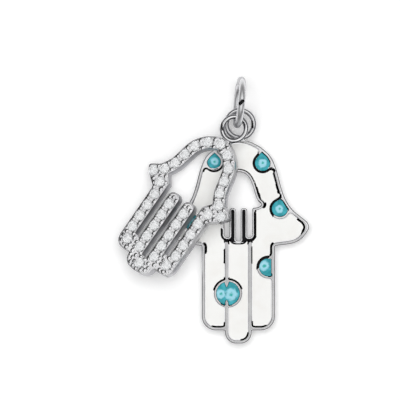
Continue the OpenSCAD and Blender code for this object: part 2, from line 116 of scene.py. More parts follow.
class Value:
    """A socket that takes part in sums the way a number does."""

    def __init__(self, graph: Graph, socket: bpy.types.NodeSocket | None) -> None:
        """Wraps an output socket of the graph."""
        self.graph = graph
        self.socket = socket

    def of(self, name: str | int) -> Value:
        """Returns another output of the same node."""
        return Value(self.graph, self.socket.node.outputs[name])

    def _math(self, operation: str, *terms: Value | float) -> Value:
        """Adds one Math node over the terms."""
        return self.graph.node("ShaderNodeMath", {"operation": operation}, dict(enumerate(terms)))

    def __add__(self, other: Value | float) -> Value:
        """self + other."""
        return self._math("ADD", self, other)

    def __sub__(self, other: Value | float) -> Value:
        """self - other."""
        return self._math("SUBTRACT", self, other)

    def __rsub__(self, other: float) -> Value:
        """other - self."""
        return self._math("SUBTRACT", other, self)

    def __mul__(self, other: Value | float) -> Value:
        """self * other."""
        return self._math("MULTIPLY", self, other)

    def __truediv__(self, other: Value | float) -> Value:
        """self / other."""
        return self._math("DIVIDE", self, other)

    def __rtruediv__(self, other: float) -> Value:
        """other / self."""
        return self._math("DIVIDE", other, self)

    __radd__ = __add__
    __rmul__ = __mul__

    def step(self, low: Value | float, high: Value | float) -> Value:
        """Rises smoothly from 0 at low to 1 at high."""
        inputs = {"Value": self, "From Min": low, "From Max": high}
        return self.graph.node("ShaderNodeMapRange", {"interpolation_type": "SMOOTHSTEP"}, inputs)


class Graph:
    """The nodes of one material or of the world."""

    def __init__(self, tree: bpy.types.NodeTree) -> None:
        """Starts the tree empty."""
        self.tree = tree
        tree.nodes.clear()

    def node(
        self,
        kind: str,
        settings: dict[str, Any] | None = None,
        inputs: dict[str | int, Any] | None = None,
    ) -> Value:
        """Adds one node.

        Args:
            kind: The node's type.
            settings: Its properties, set first.
            inputs: Values or links by the name or number of the socket.

        Returns:
            The node's first output in use, or a value without a socket where it has none.
        """
        node = self.tree.nodes.new(kind)
        for name, value in (settings or {}).items():
            setattr(node, name, value)
        for name, value in (inputs or {}).items():
            socket = node.inputs[name]
            if isinstance(value, Value):
                self.tree.links.new(value.socket, socket)
            else:
                socket.default_value = value
        shown = [socket for socket in node.outputs if socket.enabled]
        return Value(self, shown[0] if shown else None)

    def vector(self, operation: str, first: Value, second: Spot | Value) -> Value:
        """Adds one Vector Math node."""
        return self.node("ShaderNodeVectorMath", {"operation": operation}, {0: first, 1: second})

    def noise(self, size_mm: float, detail: float) -> Value:
        """Soft noise between 0 and 1.

        Args:
            size_mm: About the size of its features.
            detail: How many finer layers it has.

        Returns:
            The noise at the place on the object.
        """
        place = self.node("ShaderNodeTexCoord").of("Object")
        inputs = {"Vector": place, "Scale": 1 / (size_mm * MM), "Detail": detail}
        return self.node("ShaderNodeTexNoise", {"noise_dimensions": "3D"}, inputs)

    def blend(self, share: Value, first: Colour | Value, second: Colour | Value) -> Value:
        """Mixes two colours, all of the second one where the share is 1."""
        settings = {"data_type": "RGBA", "clamp_factor": True}
        inputs = {MIX_SHARE: share, MIX_FIRST: first, MIX_SECOND: second}
        return self.node("ShaderNodeMix", settings, inputs).of(MIX_RESULT)

    def relief(self, height: Value, depth_mm: float) -> Value:
        """Turns a height between 0 and 1 into a bumped normal."""
        inputs = {"Height": height, "Strength": 1.0, "Distance": depth_mm * MM}
        return self.node("ShaderNodeBump", None, inputs)

    def surface(self, shader: Value) -> None:
        """Leads a shader to the output of the world or of the material."""
        owner = "World" if isinstance(self.tree.id_data, bpy.types.World) else "Material"
        self.node("ShaderNodeOutput" + owner, None, {"Surface": shader})

    def principled(self, inputs: dict[str, Any]) -> None:
        """Covers the surface with one Principled shader."""
        self.surface(self.node("ShaderNodeBsdfPrincipled", None, inputs))


def rgb(code: str) -> Colour:
    """Turns a web colour into a linear one.

    Args:
        code: Six hexadecimal digits, such as f0f0ee.

    Returns:
        Red, green, blue and full alpha.
    """
    linear = []
    for start in (0, 2, 4):
        part = int(code[start : start + 2], 16) / 255
        curved = ((part + SRGB_OFFSET) / (1 + SRGB_OFFSET)) ** SRGB_POWER
        linear.append(part / SRGB_SLOPE if part <= SRGB_KNEE else curved)
    return (*linear, 1.0)


def grey(level: float) -> Colour:
    """A linear grey with full alpha."""
    return (level, level, level, 1.0)


def new_material(name: str) -> tuple[Material, Graph]:
    """Makes an empty material and its graph."""
    material = bpy.data.materials.new(name)
    material.use_nodes = True
    return material, Graph(material.node_tree)


# Finishes


@dataclass(frozen=True)
class PolishedSilver:
    """Bright rhodium-plated silver with faint polishing marks."""

    name: str = "polished_silver"
    colour: str = "e9e9ea"
    worn: str = "dadadc"
    roughness: float = 0.07
    roughness_spread: float = 0.09
    wear_mm: float = 1.3
    wear_range: tuple[float, float] = (0.35, 0.75)
    mark_mm: float = 0.35
    mark_depth_mm: float = 0.0016

    def make(self) -> Material:
        """Builds the material.

        Returns:
            The finish, ready for its pieces.
        """
        material, g = new_material(self.name)
        cloud = g.noise(self.wear_mm, detail=3.0)
        fine = g.noise(self.mark_mm, detail=4.0)
        g.principled(
            {
                "Base Color": g.blend(cloud.step(*self.wear_range), rgb(self.colour), rgb(self.worn)),
                "Metallic": 1.0,
                "Roughness": self.roughness + self.roughness_spread * fine * cloud,
                "Normal": g.relief(fine, self.mark_depth_mm),
            }
        )
        return material


# The other finishes of the silver; the dark reflection, shaded and side ones are painted reflection and
# shade
# painted dark reflection: near-black silver where the polished metal would mirror dark surroundings
DARK_REFLECTION_SILVER = PolishedSilver("painted_dark_reflection_silver", "1e1e20", "2e2e30", 0.12)
SHADED_SILVER = PolishedSilver("shaded_silver", "a6a6aa", "949498", 0.3)
CUT_SILVER = PolishedSilver("bright_cut_silver", mark_mm=0.3, mark_depth_mm=0.003)
DRAWN_SILVER = PolishedSilver("drawn_silver", "f0f0f2", "e4e4e6", 0.42)
SATIN_SILVER = PolishedSilver("satin_silver", "f4f4f5", "ececee", 0.42)
# painted shade: greyer silver for the stone hand's outer walls and the jump ring's sides
SHADED_SIDE_SILVER = PolishedSilver("painted_shade_side_silver", "b8b8bb", "a6a6aa", 0.25)


@dataclass(frozen=True)
class WhiteEnamel:
    """Off-white enamel, glossy, with faint clouding. Its faint glow is painted light that lifts the shade
    falling on it.
    """

    name: str = "white_enamel"
    colour: str = "e5e5e3"
    clouded: str = "e1e0dd"
    cloud_range: tuple[float, float] = (0.4, 0.7)
    roughness: float = 0.12
    roughness_spread: float = 0.08
    # painted light: a faint glow that lifts the shade on the enamel
    glow: float = 0.19
    wave_mm: float = 1.6
    wave_depth_mm: float = 0.004

    def make(self) -> Material:
        """Builds the material.

        Returns:
            The finish, ready for its pieces.
        """
        material, g = new_material(self.name)
        cloud = g.noise(self.wave_mm, detail=3.0)
        g.principled(
            {
                "Base Color": g.blend(cloud.step(*self.cloud_range), rgb(self.colour), rgb(self.clouded)),
                "Roughness": self.roughness + self.roughness_spread * cloud,
                "IOR": 1.5,
                "Coat Weight": 0.4,
                "Coat Roughness": 0.05,
                "Emission Color": rgb(self.colour),
                "Emission Strength": self.glow,
                "Normal": g.relief(cloud, self.wave_depth_mm),
            }
        )
        return material


@dataclass(frozen=True)
class Iris:
    """A light ring round a pupil."""

    centre: Place
    radius: float


@dataclass(frozen=True)
class EyeEnamel:
    """Glossy teal enamel with a light ring that melts into it.

    The edges of a ring and of its pupil are shares of the ring's radius.
    """

    name: str
    irises: tuple[Iris, ...]
    deep: str = "1c8c97"
    teal: str = "3cb0bd"
    ring: str = "a2dcec"
    pupil: str = "3fb2ac"
    cloud_mm: float = 0.5
    cloud_range: tuple[float, float] = (0.3, 0.7)
    flow_mm: float = 0.32
    flow: float = 0.9
    ring_full: float = 0.95
    ring_edge: tuple[float, float] = (0.8, 1.35)
    pupil_edge: tuple[float, float] = (0.15, 0.5)
    roughness: float = 0.12
    roughness_spread: float = 0.06
    wave_depth_mm: float = 0.003

    def make(self) -> Material:
        """Builds the material.

        Returns:
            The finish, ready for its pieces.
        """
        material, g = new_material(self.name)
        place = g.node("ShaderNodeTexCoord").of("Object")
        flat = g.vector("MULTIPLY", place, (1, 1, 0))
        cloud = g.noise(self.cloud_mm, detail=3.0)
        flow = g.noise(self.flow_mm, detail=2.0)
        colour = g.blend(cloud.step(*self.cloud_range), rgb(self.deep), rgb(self.teal))
        for iris in self.irises:
            middle = (iris.centre[0] * MM, iris.centre[1] * MM, 0.0)
            away = g.vector("DISTANCE", flat, middle).of("Value")
            share = away / (iris.radius * MM) + self.flow * flow - self.flow / 2
            colour = g.blend(self.ring_full - share.step(*self.ring_edge), colour, rgb(self.ring))
            colour = g.blend(1.0 - share.step(*self.pupil_edge), colour, rgb(self.pupil))
        g.principled(
            {
                "Base Color": colour,
                "Roughness": self.roughness + self.roughness_spread * cloud,
                "IOR": 1.5,
                "Specular IOR Level": 0.25,
                "Coat Weight": 0.25,
                "Coat Roughness": 0.03,
                "Normal": g.relief(cloud, self.wave_depth_mm),
            }
        )
        return material


@dataclass(frozen=True)
class ClearStone:
    """Colourless cut stone, with a faint glow that is painted light."""

    name: str = "clear_stone"
    colour: str = "fafbfc"
    clouded: str = "eceef0"
    cloud_mm: float = 0.4
    cloud_range: tuple[float, float] = (0.3, 0.7)
    roughness: float = 0.01
    roughness_spread: float = 0.02
    ior: float = 2.15
    # painted light: a faint glow that brightens the stones
    glow: float = 0.018

    def make(self) -> Material:
        """Builds the material.

        Returns:
            The finish, ready for its pieces.
        """
        material, g = new_material(self.name)
        cloud = g.noise(self.cloud_mm, detail=1.0)
        g.principled(
            {
                "Base Color": g.blend(cloud.step(*self.cloud_range), rgb(self.colour), rgb(self.clouded)),
                "Roughness": self.roughness + self.roughness_spread * cloud,
                "IOR": self.ior,
                "Transmission Weight": 1.0,
                "Emission Color": grey(1.0),
                "Emission Strength": self.glow,
            }
        )
        return material


@dataclass(frozen=True)
class PaleTable:
    """A matt pale surface with faint clouding."""

    name: str = "pale_table"
    level: float = 0.96
    clouded: float = 0.97
    cloud_mm: float = 40.0
    glow: float = 0.12

    def make(self) -> Material:
        """Builds the material.

        Returns:
            The finish, ready for its pieces.
        """
        material, g = new_material(self.name)
        cloud = g.noise(self.cloud_mm, detail=2.0)
        g.principled(
            {
                "Base Color": g.blend(cloud, grey(self.level), grey(self.clouded)),
                "Roughness": 0.9,
                "Specular IOR Level": 0.1,
                "Emission Color": grey(1.0),
                "Emission Strength": self.glow,
            }
        )
        return material


# Flat outlines

# Least turn that stays a sharp corner, in radians
CORNER = math.radians(24)
# Length past which a stretch between two points stays straight
STRAIGHT = 0.7
# A stretch this many times as long as its neighbour stays straight too
FAR_LONGER = 2.5
# Softening moves a point this share of the way to its neighbours' mean, and fades past this share
# of its reach
SOFT_PULL = 0.8
SOFT_CORE = 0.7
# A row beside a line follows the mean of both stretches, and fans out where the line turns more
MEAN = (0.5, 0.5)
FAN = ((0.85, 0.15), (0.15, 0.85))
FAN_TURN = 0.2
# Distances below which a point counts as on an arc's edge, or on a line
ARC_TOLERANCE = 1e-6
LINE_TOLERANCE = 1e-5
# Digits to which the places of two meshes over the same outline agree
PLACE_DIGITS = 6
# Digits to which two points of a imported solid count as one
MERGE_DIGITS = 4
# Distance within which the triangulation merges points
CDT_TOLERANCE = 1e-7
# Shares of the first row's distance: the squares that thin an enamel's points, and how near to its
# edge a point may lie
THIN_SHARE = 0.9
EDGE_SHARE = 0.8
# Share of the gap that a point of an enamel's edge has to keep from its cell
PULLED_SHARE = 0.9


@dataclass
class Loop:
    """A closed line in a plane, with its region on the left."""

    points: Array

    def along(self) -> Array:
        """Steps from each point to the next."""
        return np.roll(self.points, -1, axis=0) - self.points

    def area(self) -> float:
        """Area inside, negative where the line runs clockwise."""
        x, y = self.points.T
        return float(np.sum(x * np.roll(y, -1) - np.roll(x, -1) * y) / 2)

    def middle(self) -> Array:
        """Centre of the line's box."""
        return (self.points.min(axis=0) + self.points.max(axis=0)) / 2

    def turns(self) -> Array:
        """Measures how far the line turns at each point.

        Returns:
            The angles in radians, positive to the left.
        """
        ahead = self.along()
        behind = np.roll(ahead, 1, axis=0)
        cross = behind[:, 0] * ahead[:, 1] - behind[:, 1] * ahead[:, 0]
        return np.arctan2(cross, np.sum(behind * ahead, axis=1))

    def smooth(self, step: float, corner: float = CORNER) -> Loop:
        """Draws the line again as a smooth curve.

        Args:
            step: Longest stretch between two points.
            corner: Least turn that stays a sharp corner.

        Returns:
            The finer line.
        """
        ahead = self.along()
        length = np.linalg.norm(ahead, axis=1)
        heading = ahead / length[:, None]
        before_length, before = np.roll(length, 1), np.roll(heading, 1, axis=0)
        tangent = before * length[:, None] + heading * before_length[:, None]
        for ours, other, way in ((length, before_length, heading), (before_length, length, before)):
            leads = (ours > STRAIGHT) | (ours > FAR_LONGER * other)
            tangent = np.where((leads & (ours > other))[:, None], way, tangent)
        tangent /= np.linalg.norm(tangent, axis=1)[:, None]
        sharp = np.abs(self.turns()) > corner
        sharp |= (length > STRAIGHT) & (before_length > STRAIGHT)
        fine = []
        for i, start in enumerate(self.points):
            j = (i + 1) % len(self.points)
            first = heading[i] if sharp[i] else tangent[i]
            last = heading[i] if sharp[j] else tangent[j]
            count = max(1, math.ceil(length[i] / step))
            for k in range(count):
                # A cubic curve through both points with the headings there
                t = k / count
                fine.append(
                    (2 * t**3 - 3 * t**2 + 1) * start
                    + (t**3 - 2 * t**2 + t) * length[i] * first
                    + (3 * t**2 - 2 * t**3) * self.points[j]
                    + (t**3 - t**2) * length[i] * last
                )
        return Loop(np.array(fine))

    def rounded(self, corner: Place, radius: float, slack: float = 0.03) -> Loop:
        """Draws a square corner at the foot of the line again as a round one.

        Args:
            corner: Where the straight side and the foot would meet.
            radius: Radius of the new arc, whose middle is nearer to x = 0 and higher.
            slack: How far outside the arc's square a point may lie and still be moved.

        Returns:
            The line with its points near the corner moved onto the arc.
        """
        inward = np.array((-math.copysign(1.0, corner[0]), 1.0))
        middle = np.array(corner) + radius * inward
        off = self.points - middle
        reach = np.linalg.norm(off, axis=1)
        near = (off * inward < ARC_TOLERANCE).all(axis=1) & (reach > 0)
        near &= np.abs(off).max(axis=1) < radius + slack
        points = self.points.copy()
        points[near] = middle + off[near] * (radius / reach[near])[:, None]
        return Loop(points)

    def softened(self, place: Place, reach: float, rounds: int = 60) -> Loop:
        """Draws the line softer near a place.

        Args:
            place: Where the line is softened.
            reach: How far from there its points move.
            rounds: How often each point there is drawn towards its neighbours.

        Returns:
            The softer line.
        """
        points = self.points.copy()
        away = np.linalg.norm(points - np.array(place), axis=1)
        share = 1 - eased(away, reach * SOFT_CORE, reach)
        for _ in range(rounds):
            mean = (np.roll(points, 1, axis=0) + np.roll(points, -1, axis=0)) / 2
            points += SOFT_PULL * share[:, None] * (mean - points)
        return Loop(points)

    def beside(self, distances: Iterable[float], side: Side) -> Array:
        """Points that run along the line at the given distances, fanned out round corners.

        Args:
            distances: How far off the line each row runs.
            side: The side of the line on which the rows run.

        Returns:
            The points of all rows.
        """
        heading = self.along()
        heading /= np.linalg.norm(heading, axis=1)[:, None]
        behind = np.roll(heading, 1, axis=0)
        turning = np.abs(self.turns()) > FAN_TURN
        starts, ways = [], []
        for shares in (MEAN, *FAN):
            blended = behind * shares[0] + heading * shares[1]
            chosen = slice(None) if shares == MEAN else turning
            starts.append(self.points[chosen])
            ways.append(blended[chosen])
        start, way = np.concatenate(starts), np.concatenate(ways)
        way /= np.linalg.norm(way, axis=1)[:, None]
        normal = np.stack([-way[:, 1], way[:, 0]], axis=1) * side.value
        return np.concatenate([start + d * normal for d in distances])


def inside(loops: Sequence[Loop], points: Array) -> Array:
    """Tells which points lie inside the loops.

    Args:
        loops: Closed lines; one inside another cuts a hole.
        points: Flat places.

    Returns:
        True for each point with an odd number of crossings on its way out.
    """
    x, y = points.T
    within = np.zeros(len(points), bool)
    for loop in loops:
        ends = np.roll(loop.points, -1, axis=0)
        for (x0, y0), (x1, y1) in zip(loop.points, ends):
            if y0 != y1:
                crosses = (y0 > y) != (y1 > y)
                within ^= crosses & (x < x0 + (y - y0) * (x1 - x0) / (y1 - y0))
    return within


class Nearness:
    """Distances from points to a set of loops."""

    def __init__(self, loops: Sequence[Loop], spacing: float = 0.02) -> None:
        """Fills a search tree with points along the loops.

        Args:
            loops: The lines.
            spacing: Longest stretch between two points of the tree.
        """
        starts, spans, samples = [], [], []
        for loop in loops:
            along = loop.along()
            counts = np.ceil(np.linalg.norm(along, axis=1) / spacing).astype(int)
            for start, span, count in zip(loop.points, along, counts):
                for k in range(count):
                    samples.append(start + span * (k / count))
                    starts.append(start)
                    spans.append(span)
        self.starts, self.spans = np.array(starts), np.array(spans)
        self.tree = KDTree(len(samples))
        for i, (x, y) in enumerate(samples):
            self.tree.insert((x, y, 0.0), i)
        self.tree.balance()

    def __call__(self, points: Array) -> Array:
        """Measures from the nearest stretch.

        Args:
            points: Flat places.

        Returns:
            The distance of each point.
        """
        nearest = np.array([self.tree.find((x, y, 0.0))[1] for x, y in points], int)
        start, span = self.starts[nearest], self.spans[nearest]
        share = np.sum((points - start) * span, axis=1) / np.sum(span * span, axis=1)
        foot = start + np.clip(share, 0, 1)[:, None] * span
        return np.linalg.norm(points - foot, axis=1)


def thinned(points: Array, spacing: float) -> Array:
    """Keeps one point in each square of the given size."""
    _, first = np.unique(np.floor(points / spacing).astype(int), axis=0, return_index=True)
    return points[np.sort(first)]


def around(centre: Sequence[float], radius: float, count: int) -> Array:
    """Points on a circle."""
    angle = np.arange(count) * math.tau / count
    return np.array(centre) + radius * np.stack([np.cos(angle), np.sin(angle)], axis=1)


def grid(low: Array, high: Array, spacing: float, start: float = 0.0) -> Array:
    """Points on a square grid.

    Args:
        low: Lower left corner of its box.
        high: Upper right corner of its box.
        spacing: Distance between neighbours.
        start: How far inside the lower left corner it starts.

    Returns:
        The points, row by row.
    """
    xs, ys = (np.arange(low[k] + start, high[k], spacing) for k in (0, 1))
    return np.stack(np.meshgrid(xs, ys), axis=-1).reshape(-1, 2)


def quarter(distance: Array, radius: float) -> Array:
    """Drop of a quarter-round edge at a distance inside it."""
    inner = np.clip(radius - distance, 0, radius)
    return radius - np.sqrt(np.maximum(radius**2 - inner**2, 0))


def from_segment(points: Array, start: Place, end: Place) -> Array:
    """Measures from a straight line between two places.

    Args:
        points: Flat places.
        start: One end of the line.
        end: Its other end.

    Returns:
        The distance of each point.
    """
    first, way = np.array(start), np.array(end) - np.array(start)
    share = np.clip((points - first) @ way / float(way @ way), 0, 1)
    return np.linalg.norm(points - first - share[:, None] * way, axis=1)


def from_places(points: Array, places: Iterable[Array]) -> Array:
    """Measures from the nearest of some places.

    Args:
        points: Flat places.
        places: The places that they are measured from.

    Returns:
        The distance of each point.
    """
    nearest = np.full(len(points), np.inf)
    for place in places:
        nearest = np.minimum(nearest, np.linalg.norm(points - place, axis=1))
    return nearest


def eased(value: Array, low: float | Array, high: float | Array) -> Array:
    """Rises smoothly from 0 at low to 1 at high."""
    t = np.clip((value - low) / (high - low), 0, 1)
    return t * t * (3 - 2 * t)


def arc(centre: Place, radius: float, start: float, end: float, step: float = 15.0) -> tuple[Place, ...]:
    """Places along an arc.

    Args:
        centre: Its middle.
        radius: Its radius.
        start: Angle in degrees at which it starts.
        end: Angle at which it ends.
        step: Largest angle between two places.

    Returns:
        The places from its start to its end.
    """
    count = max(2, math.ceil(abs(end - start) / step) + 1)
    angles = np.radians(np.linspace(start, end, count))
    return tuple((centre[0] + radius * math.cos(a), centre[1] + radius * math.sin(a)) for a in angles)


# Meshes

# Angle in degrees past which an edge stays sharp
SHARP = 40.0
# Shares of its radius at which a rounded edge gets its points, from the line inwards
FINE_ROUND = tuple(1 - math.cos(math.radians(a)) for a in (20, 35, 50, 65, 78, 90))
RIM_ROUND = (0.06, 0.25, 0.55, 1)
BACK_ROUND = (0.06, 0.23, 0.5, 1)


@dataclass
class Skin:
    """A mesh under construction."""

    points: Array
    faces: list[tuple[int, ...]]

    def placed(self, matrix: Matrix) -> Skin:
        """Returns the mesh carried by a matrix."""
        m = np.array(matrix)
        return Skin(self.points @ m[:3, :3].T + m[:3, 3], self.faces)

    def object(self, name: str, sharp: float | None = SHARP) -> Piece:
        """Makes the Blender object.

        Args:
            name: Name of the piece.
            sharp: Angle in degrees past which an edge stays sharp, or None for flat faces.

        Returns:
            The object, linked to the scene.
        """
        mesh = bpy.data.meshes.new(name)
        mesh.from_pydata((self.points * MM).tolist(), [], self.faces)
        mesh.validate()
        finish_shading(mesh, sharp)
        piece = bpy.data.objects.new(name, mesh)
        bpy.context.scene.collection.objects.link(piece)
        return piece


def finish_shading(mesh: bpy.types.Mesh, sharp: float | None) -> None:
    """Shades a mesh smooth or flat.

    Args:
        mesh: The mesh.
        sharp: Angle in degrees past which an edge stays sharp, or None for flat faces.
    """
    mesh.polygons.foreach_set("use_smooth", [sharp is not None] * len(mesh.polygons))
    if sharp is not None:
        mesh.set_sharp_from_angle(angle=math.radians(sharp))
    mesh.update()


def triangulated(loops: Sequence[Loop], creases: Sequence[Loop], extra: Array) -> Skin:
    """Fills the region inside the loops with triangles.

    Args:
        loops: Edges of the region.
        creases: Further lines that the triangles keep.
        extra: Free points; those outside the region do no harm.

    Returns:
        A flat mesh whose points have no height.
    """
    points, edges = [], []
    for loop in [*loops, *creases]:
        first = len(points)
        points.extend(Vector(p) for p in loop.points)
        count = len(loop.points)
        edges.extend((first + i, first + (i + 1) % count) for i in range(count))
    points.extend(Vector(p) for p in extra)
    found, _, faces, *_ = delaunay_2d_cdt(points, edges, [], 0, CDT_TOLERANCE, False)
    flat = np.array([p[:] for p in found])
    corners = np.array(faces)
    corners = corners[inside(loops, flat[corners].mean(axis=1))]
    used, corners = np.unique(corners, return_inverse=True)
    return Skin(flat[used], corners.reshape(-1, 3).tolist())


def rim_edges(faces: Iterable[Sequence[int]]) -> list[tuple[int, int]]:
    """Directed edges that belong to one triangle only."""
    seen = {(f[i], f[(i + 1) % len(f)]) for f in faces for i in range(len(f))}
    return [(a, b) for a, b in seen if (b, a) not in seen]


@dataclass
class Slab:
    """A closed solid between two height fields over one flat region."""

    loops: list[Loop]
    top: Height
    bottom: Height
    creases: list[Loop] = field(default_factory=list)
    top_points: Array = field(default_factory=lambda: np.zeros((0, 2)))
    bottom_points: Array = field(default_factory=lambda: np.zeros((0, 2)))

    def skin(self) -> Skin:
        """Builds the top, the bottom and the walls between them.

        Returns:
            The closed mesh.
        """
        upper = triangulated(self.loops, self.creases, self.top_points)
        lower = triangulated(self.loops, [], self.bottom_points)
        count = len(upper.points)
        low_of = {tuple(p.round(PLACE_DIGITS)): count + i for i, p in enumerate(lower.points)}
        walls = []
        for a, b in rim_edges(upper.faces):
            below = [low_of[tuple(upper.points[i].round(PLACE_DIGITS))] for i in (a, b)]
            walls.append((b, a, below[0], below[1]))
        high = np.column_stack([upper.points, self.top(upper.points)])
        low = np.column_stack([lower.points, self.bottom(lower.points)])
        under = [(c + count, b + count, a + count) for a, b, c in lower.faces]
        return Skin(np.concatenate([high, low]), [*map(tuple, upper.faces), *under, *walls])


@dataclass
class Solder:
    """A smooth flare of solder between a hand and its loop.

    Its underside is at low, and the loop's middle plane at loop_z. waist is a share of half_w, and
    rise a share of the wire's radius.
    """

    low: float
    loop_z: float
    wire: float
    half_w: float = 0.85
    waist: float = 0.62
    waist_y: float = -0.02
    reach: float = 0.3
    rise: float = 0.7
    round_r: float = 0.2
    step: float = 0.05
    corner: float = math.radians(60)
    rows: tuple[float, ...] = (0.02, 0.05, 0.09, 0.14, 0.2)
    spacing: float = 0.03
    clearance: float = 0.012

    def skin(self) -> Skin:
        """Builds the flare, wide in the hand and narrower towards the loop.

        Returns:
            The closed mesh.
        """
        high = self.loop_z + self.rise * self.wire
        right = [
            (self.half_w, -self.reach),
            (self.half_w * self.waist, self.waist_y),
            (self.half_w / 2, self.wire),
        ]
        left = [(-x, y) for x, y in reversed(right)]
        loop = Loop(np.array([left[-1], *right, *left[:-1]])).smooth(self.step, self.corner)
        near = Nearness([loop])
        rows = thinned(loop.beside(self.rows, Side.LEFT), self.spacing)
        rows = rows[inside([loop], rows)]
        rows = rows[near(rows) > self.clearance]
        return Slab(
            [loop],
            lambda p: high - quarter(near(p), self.round_r),
            lambda p: np.full(len(p), self.low),
            top_points=rows,
        ).skin()


def wire_ring(major: float, wire: float, steps: int = 128, sides: int = 36) -> Skin:
    """A ring of round wire, flat on its middle plane.

    Args:
        major: Radius of the middle of the wire.
        wire: Radius of the wire.
        steps: Sections round the ring.
        sides: Points in a section.

    Returns:
        The closed mesh.
    """
    turn = np.repeat(np.arange(steps) * math.tau / steps, sides)
    side = np.tile(np.arange(sides) * math.tau / sides, steps)
    reach = major + wire * np.cos(side)
    points = np.stack([reach * np.cos(turn), reach * np.sin(turn), wire * np.sin(side)], axis=1)
    faces = []
    for i in range(steps):
        for j in range(sides):
            here, there = i * sides, (i + 1) % steps * sides
            beyond = (j + 1) % sides
            faces.append((here + j, there + j, there + beyond, here + beyond))
    return Skin(points, faces)


def fused(piece: Piece, parts: Sequence[Skin]) -> Piece:
    """Solders further closed meshes to a piece.

    Args:
        piece: The piece that stays.
        parts: Closed meshes that overlap it.

    Returns:
        The same piece as one closed mesh.
    """
    for part in parts:
        other = part.object("part")
        join = piece.modifiers.new("solder", "BOOLEAN")
        join.operation = "UNION"
        join.solver = "MANIFOLD"
        join.object = other
        graph = bpy.context.evaluated_depsgraph_get()
        mesh = bpy.data.meshes.new_from_object(piece.evaluated_get(graph))
        piece.modifiers.clear()
        piece.data = mesh
        bpy.data.objects.remove(other)
    finish_shading(piece.data, SHARP)
    return piece


def dressed(piece: Piece, material: Material, slot: Slot, *nodes: str) -> Piece:
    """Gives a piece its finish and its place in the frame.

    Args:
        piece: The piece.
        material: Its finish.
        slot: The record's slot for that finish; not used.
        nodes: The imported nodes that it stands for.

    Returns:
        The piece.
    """
    piece.data.materials.clear()
    piece.data.materials.append(material)
    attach(piece, BODY)
    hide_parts(*nodes)
    LOG.info("%s: %d faces, stands for %s", piece.name, len(piece.data.polygons), ", ".join(nodes))
    return piece


def refinish(piece: Piece, material: Material, chosen: Chooser) -> None:
    """Gives some faces of a dressed piece another finish.

    Args:
        piece: The piece.
        material: The other finish.
        chosen: Tells from the faces' middles in millimetres and their normals which ones get it.
    """
    count = len(piece.data.polygons)
    middles, normals = np.empty(count * 3), np.empty(count * 3)
    piece.data.polygons.foreach_get("center", middles)
    piece.data.polygons.foreach_get("normal", normals)
    mask = chosen(middles.reshape(-1, 3) / MM, normals.reshape(-1, 3))
    number = np.empty(count, np.int32)
    piece.data.polygons.foreach_get("material_index", number)
    number[mask] = len(piece.data.materials)
    piece.data.materials.append(material)
    piece.data.polygons.foreach_set("material_index", number)


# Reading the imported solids


class Solid:
    """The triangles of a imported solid, in millimetres in a chosen frame."""

    def __init__(self, piece: Piece, to_local: Matrix = Matrix.Identity(4)) -> None:
        """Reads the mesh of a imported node.

        Args:
            piece: The node's object.
            to_local: Carries the part's millimetres into the chosen frame.
        """
        mesh = piece.data
        mesh.calc_loop_triangles()
        points = np.empty(len(mesh.vertices) * 3)
        mesh.vertices.foreach_get("co", points)
        m = np.array(to_local)
        self.points = (points.reshape(-1, 3) / MM) @ m[:3, :3].T + m[:3, 3]
        corners = np.empty(len(mesh.loop_triangles) * 3, int)
        mesh.loop_triangles.foreach_get("vertices", corners)
        self.corners = corners.reshape(-1, 3)

    def middle(self) -> Array:
        """Flat centre of the solid's box."""
        return ((self.points.min(axis=0) + self.points.max(axis=0)) / 2)[:2]

    def reach(self) -> float:
        """Half the width of the solid's box."""
        return float((self.points.max(axis=0) - self.points.min(axis=0))[0] / 2)

    def loops_at(self, height: float, facing: Facing, tolerance: float = 0.004) -> list[Loop]:
        """Closed lines round the flat faces at one height, with the faces on their left.

        Args:
            height: Height of the faces.
            facing: Which way they look.
            tolerance: How far off the height a point may be.

        Returns:
            The lines, the one round the largest area first.
        """
        a, b, c = (self.points[self.corners[:, i]] for i in range(3))
        level = (np.abs(self.points[self.corners][:, :, 2] - height) < tolerance).all(axis=1)
        cross = np.cross(b - a, c - a)[:, 2] * facing.value
        # Points at one place count as one, so that the triangles hang together
        keys = [tuple(p) for p in self.points[:, :2].round(MERGE_DIGITS)]
        number: dict[Place, int] = {}
        merged = np.array([number.setdefault(key, len(number)) for key in keys])
        faces = merged[self.corners[level & (cross > 0)]]
        if facing is Facing.DOWN:
            faces = faces[:, ::-1]
        follows = dict(rim_edges(faces.tolist()))
        flat = np.array(list(number))
        loops = []
        while follows:
            start, here = follows.popitem()
            line = [start]
            while here != start:
                line.append(here)
                here = follows.pop(here)
            loops.append(Loop(flat[line]))
        return sorted(loops, key=lambda loop: -abs(loop.area()))


# Filed slopes and painted dark reflections

# Share of a stretch's reach that is filed in full, before it fades
FULL_REACH = 0.6
# Share of a stretch from which its faces take the painted dark reflection or the satin finish
FINISH_SHARE = 0.5
# A face of a wire looks sideways where the upward part of its normal is less than this
SIDEWAYS = 0.76
# A face looks up where the upward part of its normal is more than this
UPWARDS = 0.3


@dataclass(frozen=True)
class Scoop:
    """A stretch where the silver was filed away at a flat angle.

    The slope is width wide along the path, starts back in the rim and fades over its reach.
    """

    path: tuple[Place, ...]
    width: float
    reach: float = 0.3
    back: float = 0.05

    def share(self, points: Array) -> Array:
        """Tells how fully each point lies in the stretch.

        Args:
            points: Flat places.

        Returns:
            A share for each point, 1 beside the path and 0 past its reach.
        """
        away = np.full(len(points), np.inf)
        for start, end in zip(self.path, self.path[1:]):
            away = np.minimum(away, from_segment(points, start, end))
        return 1 - eased(away, self.reach * FULL_REACH, self.reach)


def widest(scoops: Iterable[Scoop], points: Array, least: float | Array, way: Way = Way.DOWN) -> Array:
    """Measures the filed slope at each point.

    Args:
        scoops: The filed stretches.
        points: Flat places.
        least: The extent beside the stretches.
        way: The extent that is meant.

    Returns:
        The largest extent of all stretches.
    """
    width = np.zeros(len(points)) + least
    for scoop in scoops:
        width = np.maximum(width, least + (getattr(scoop, way.value) - least) * scoop.share(points))
    return width


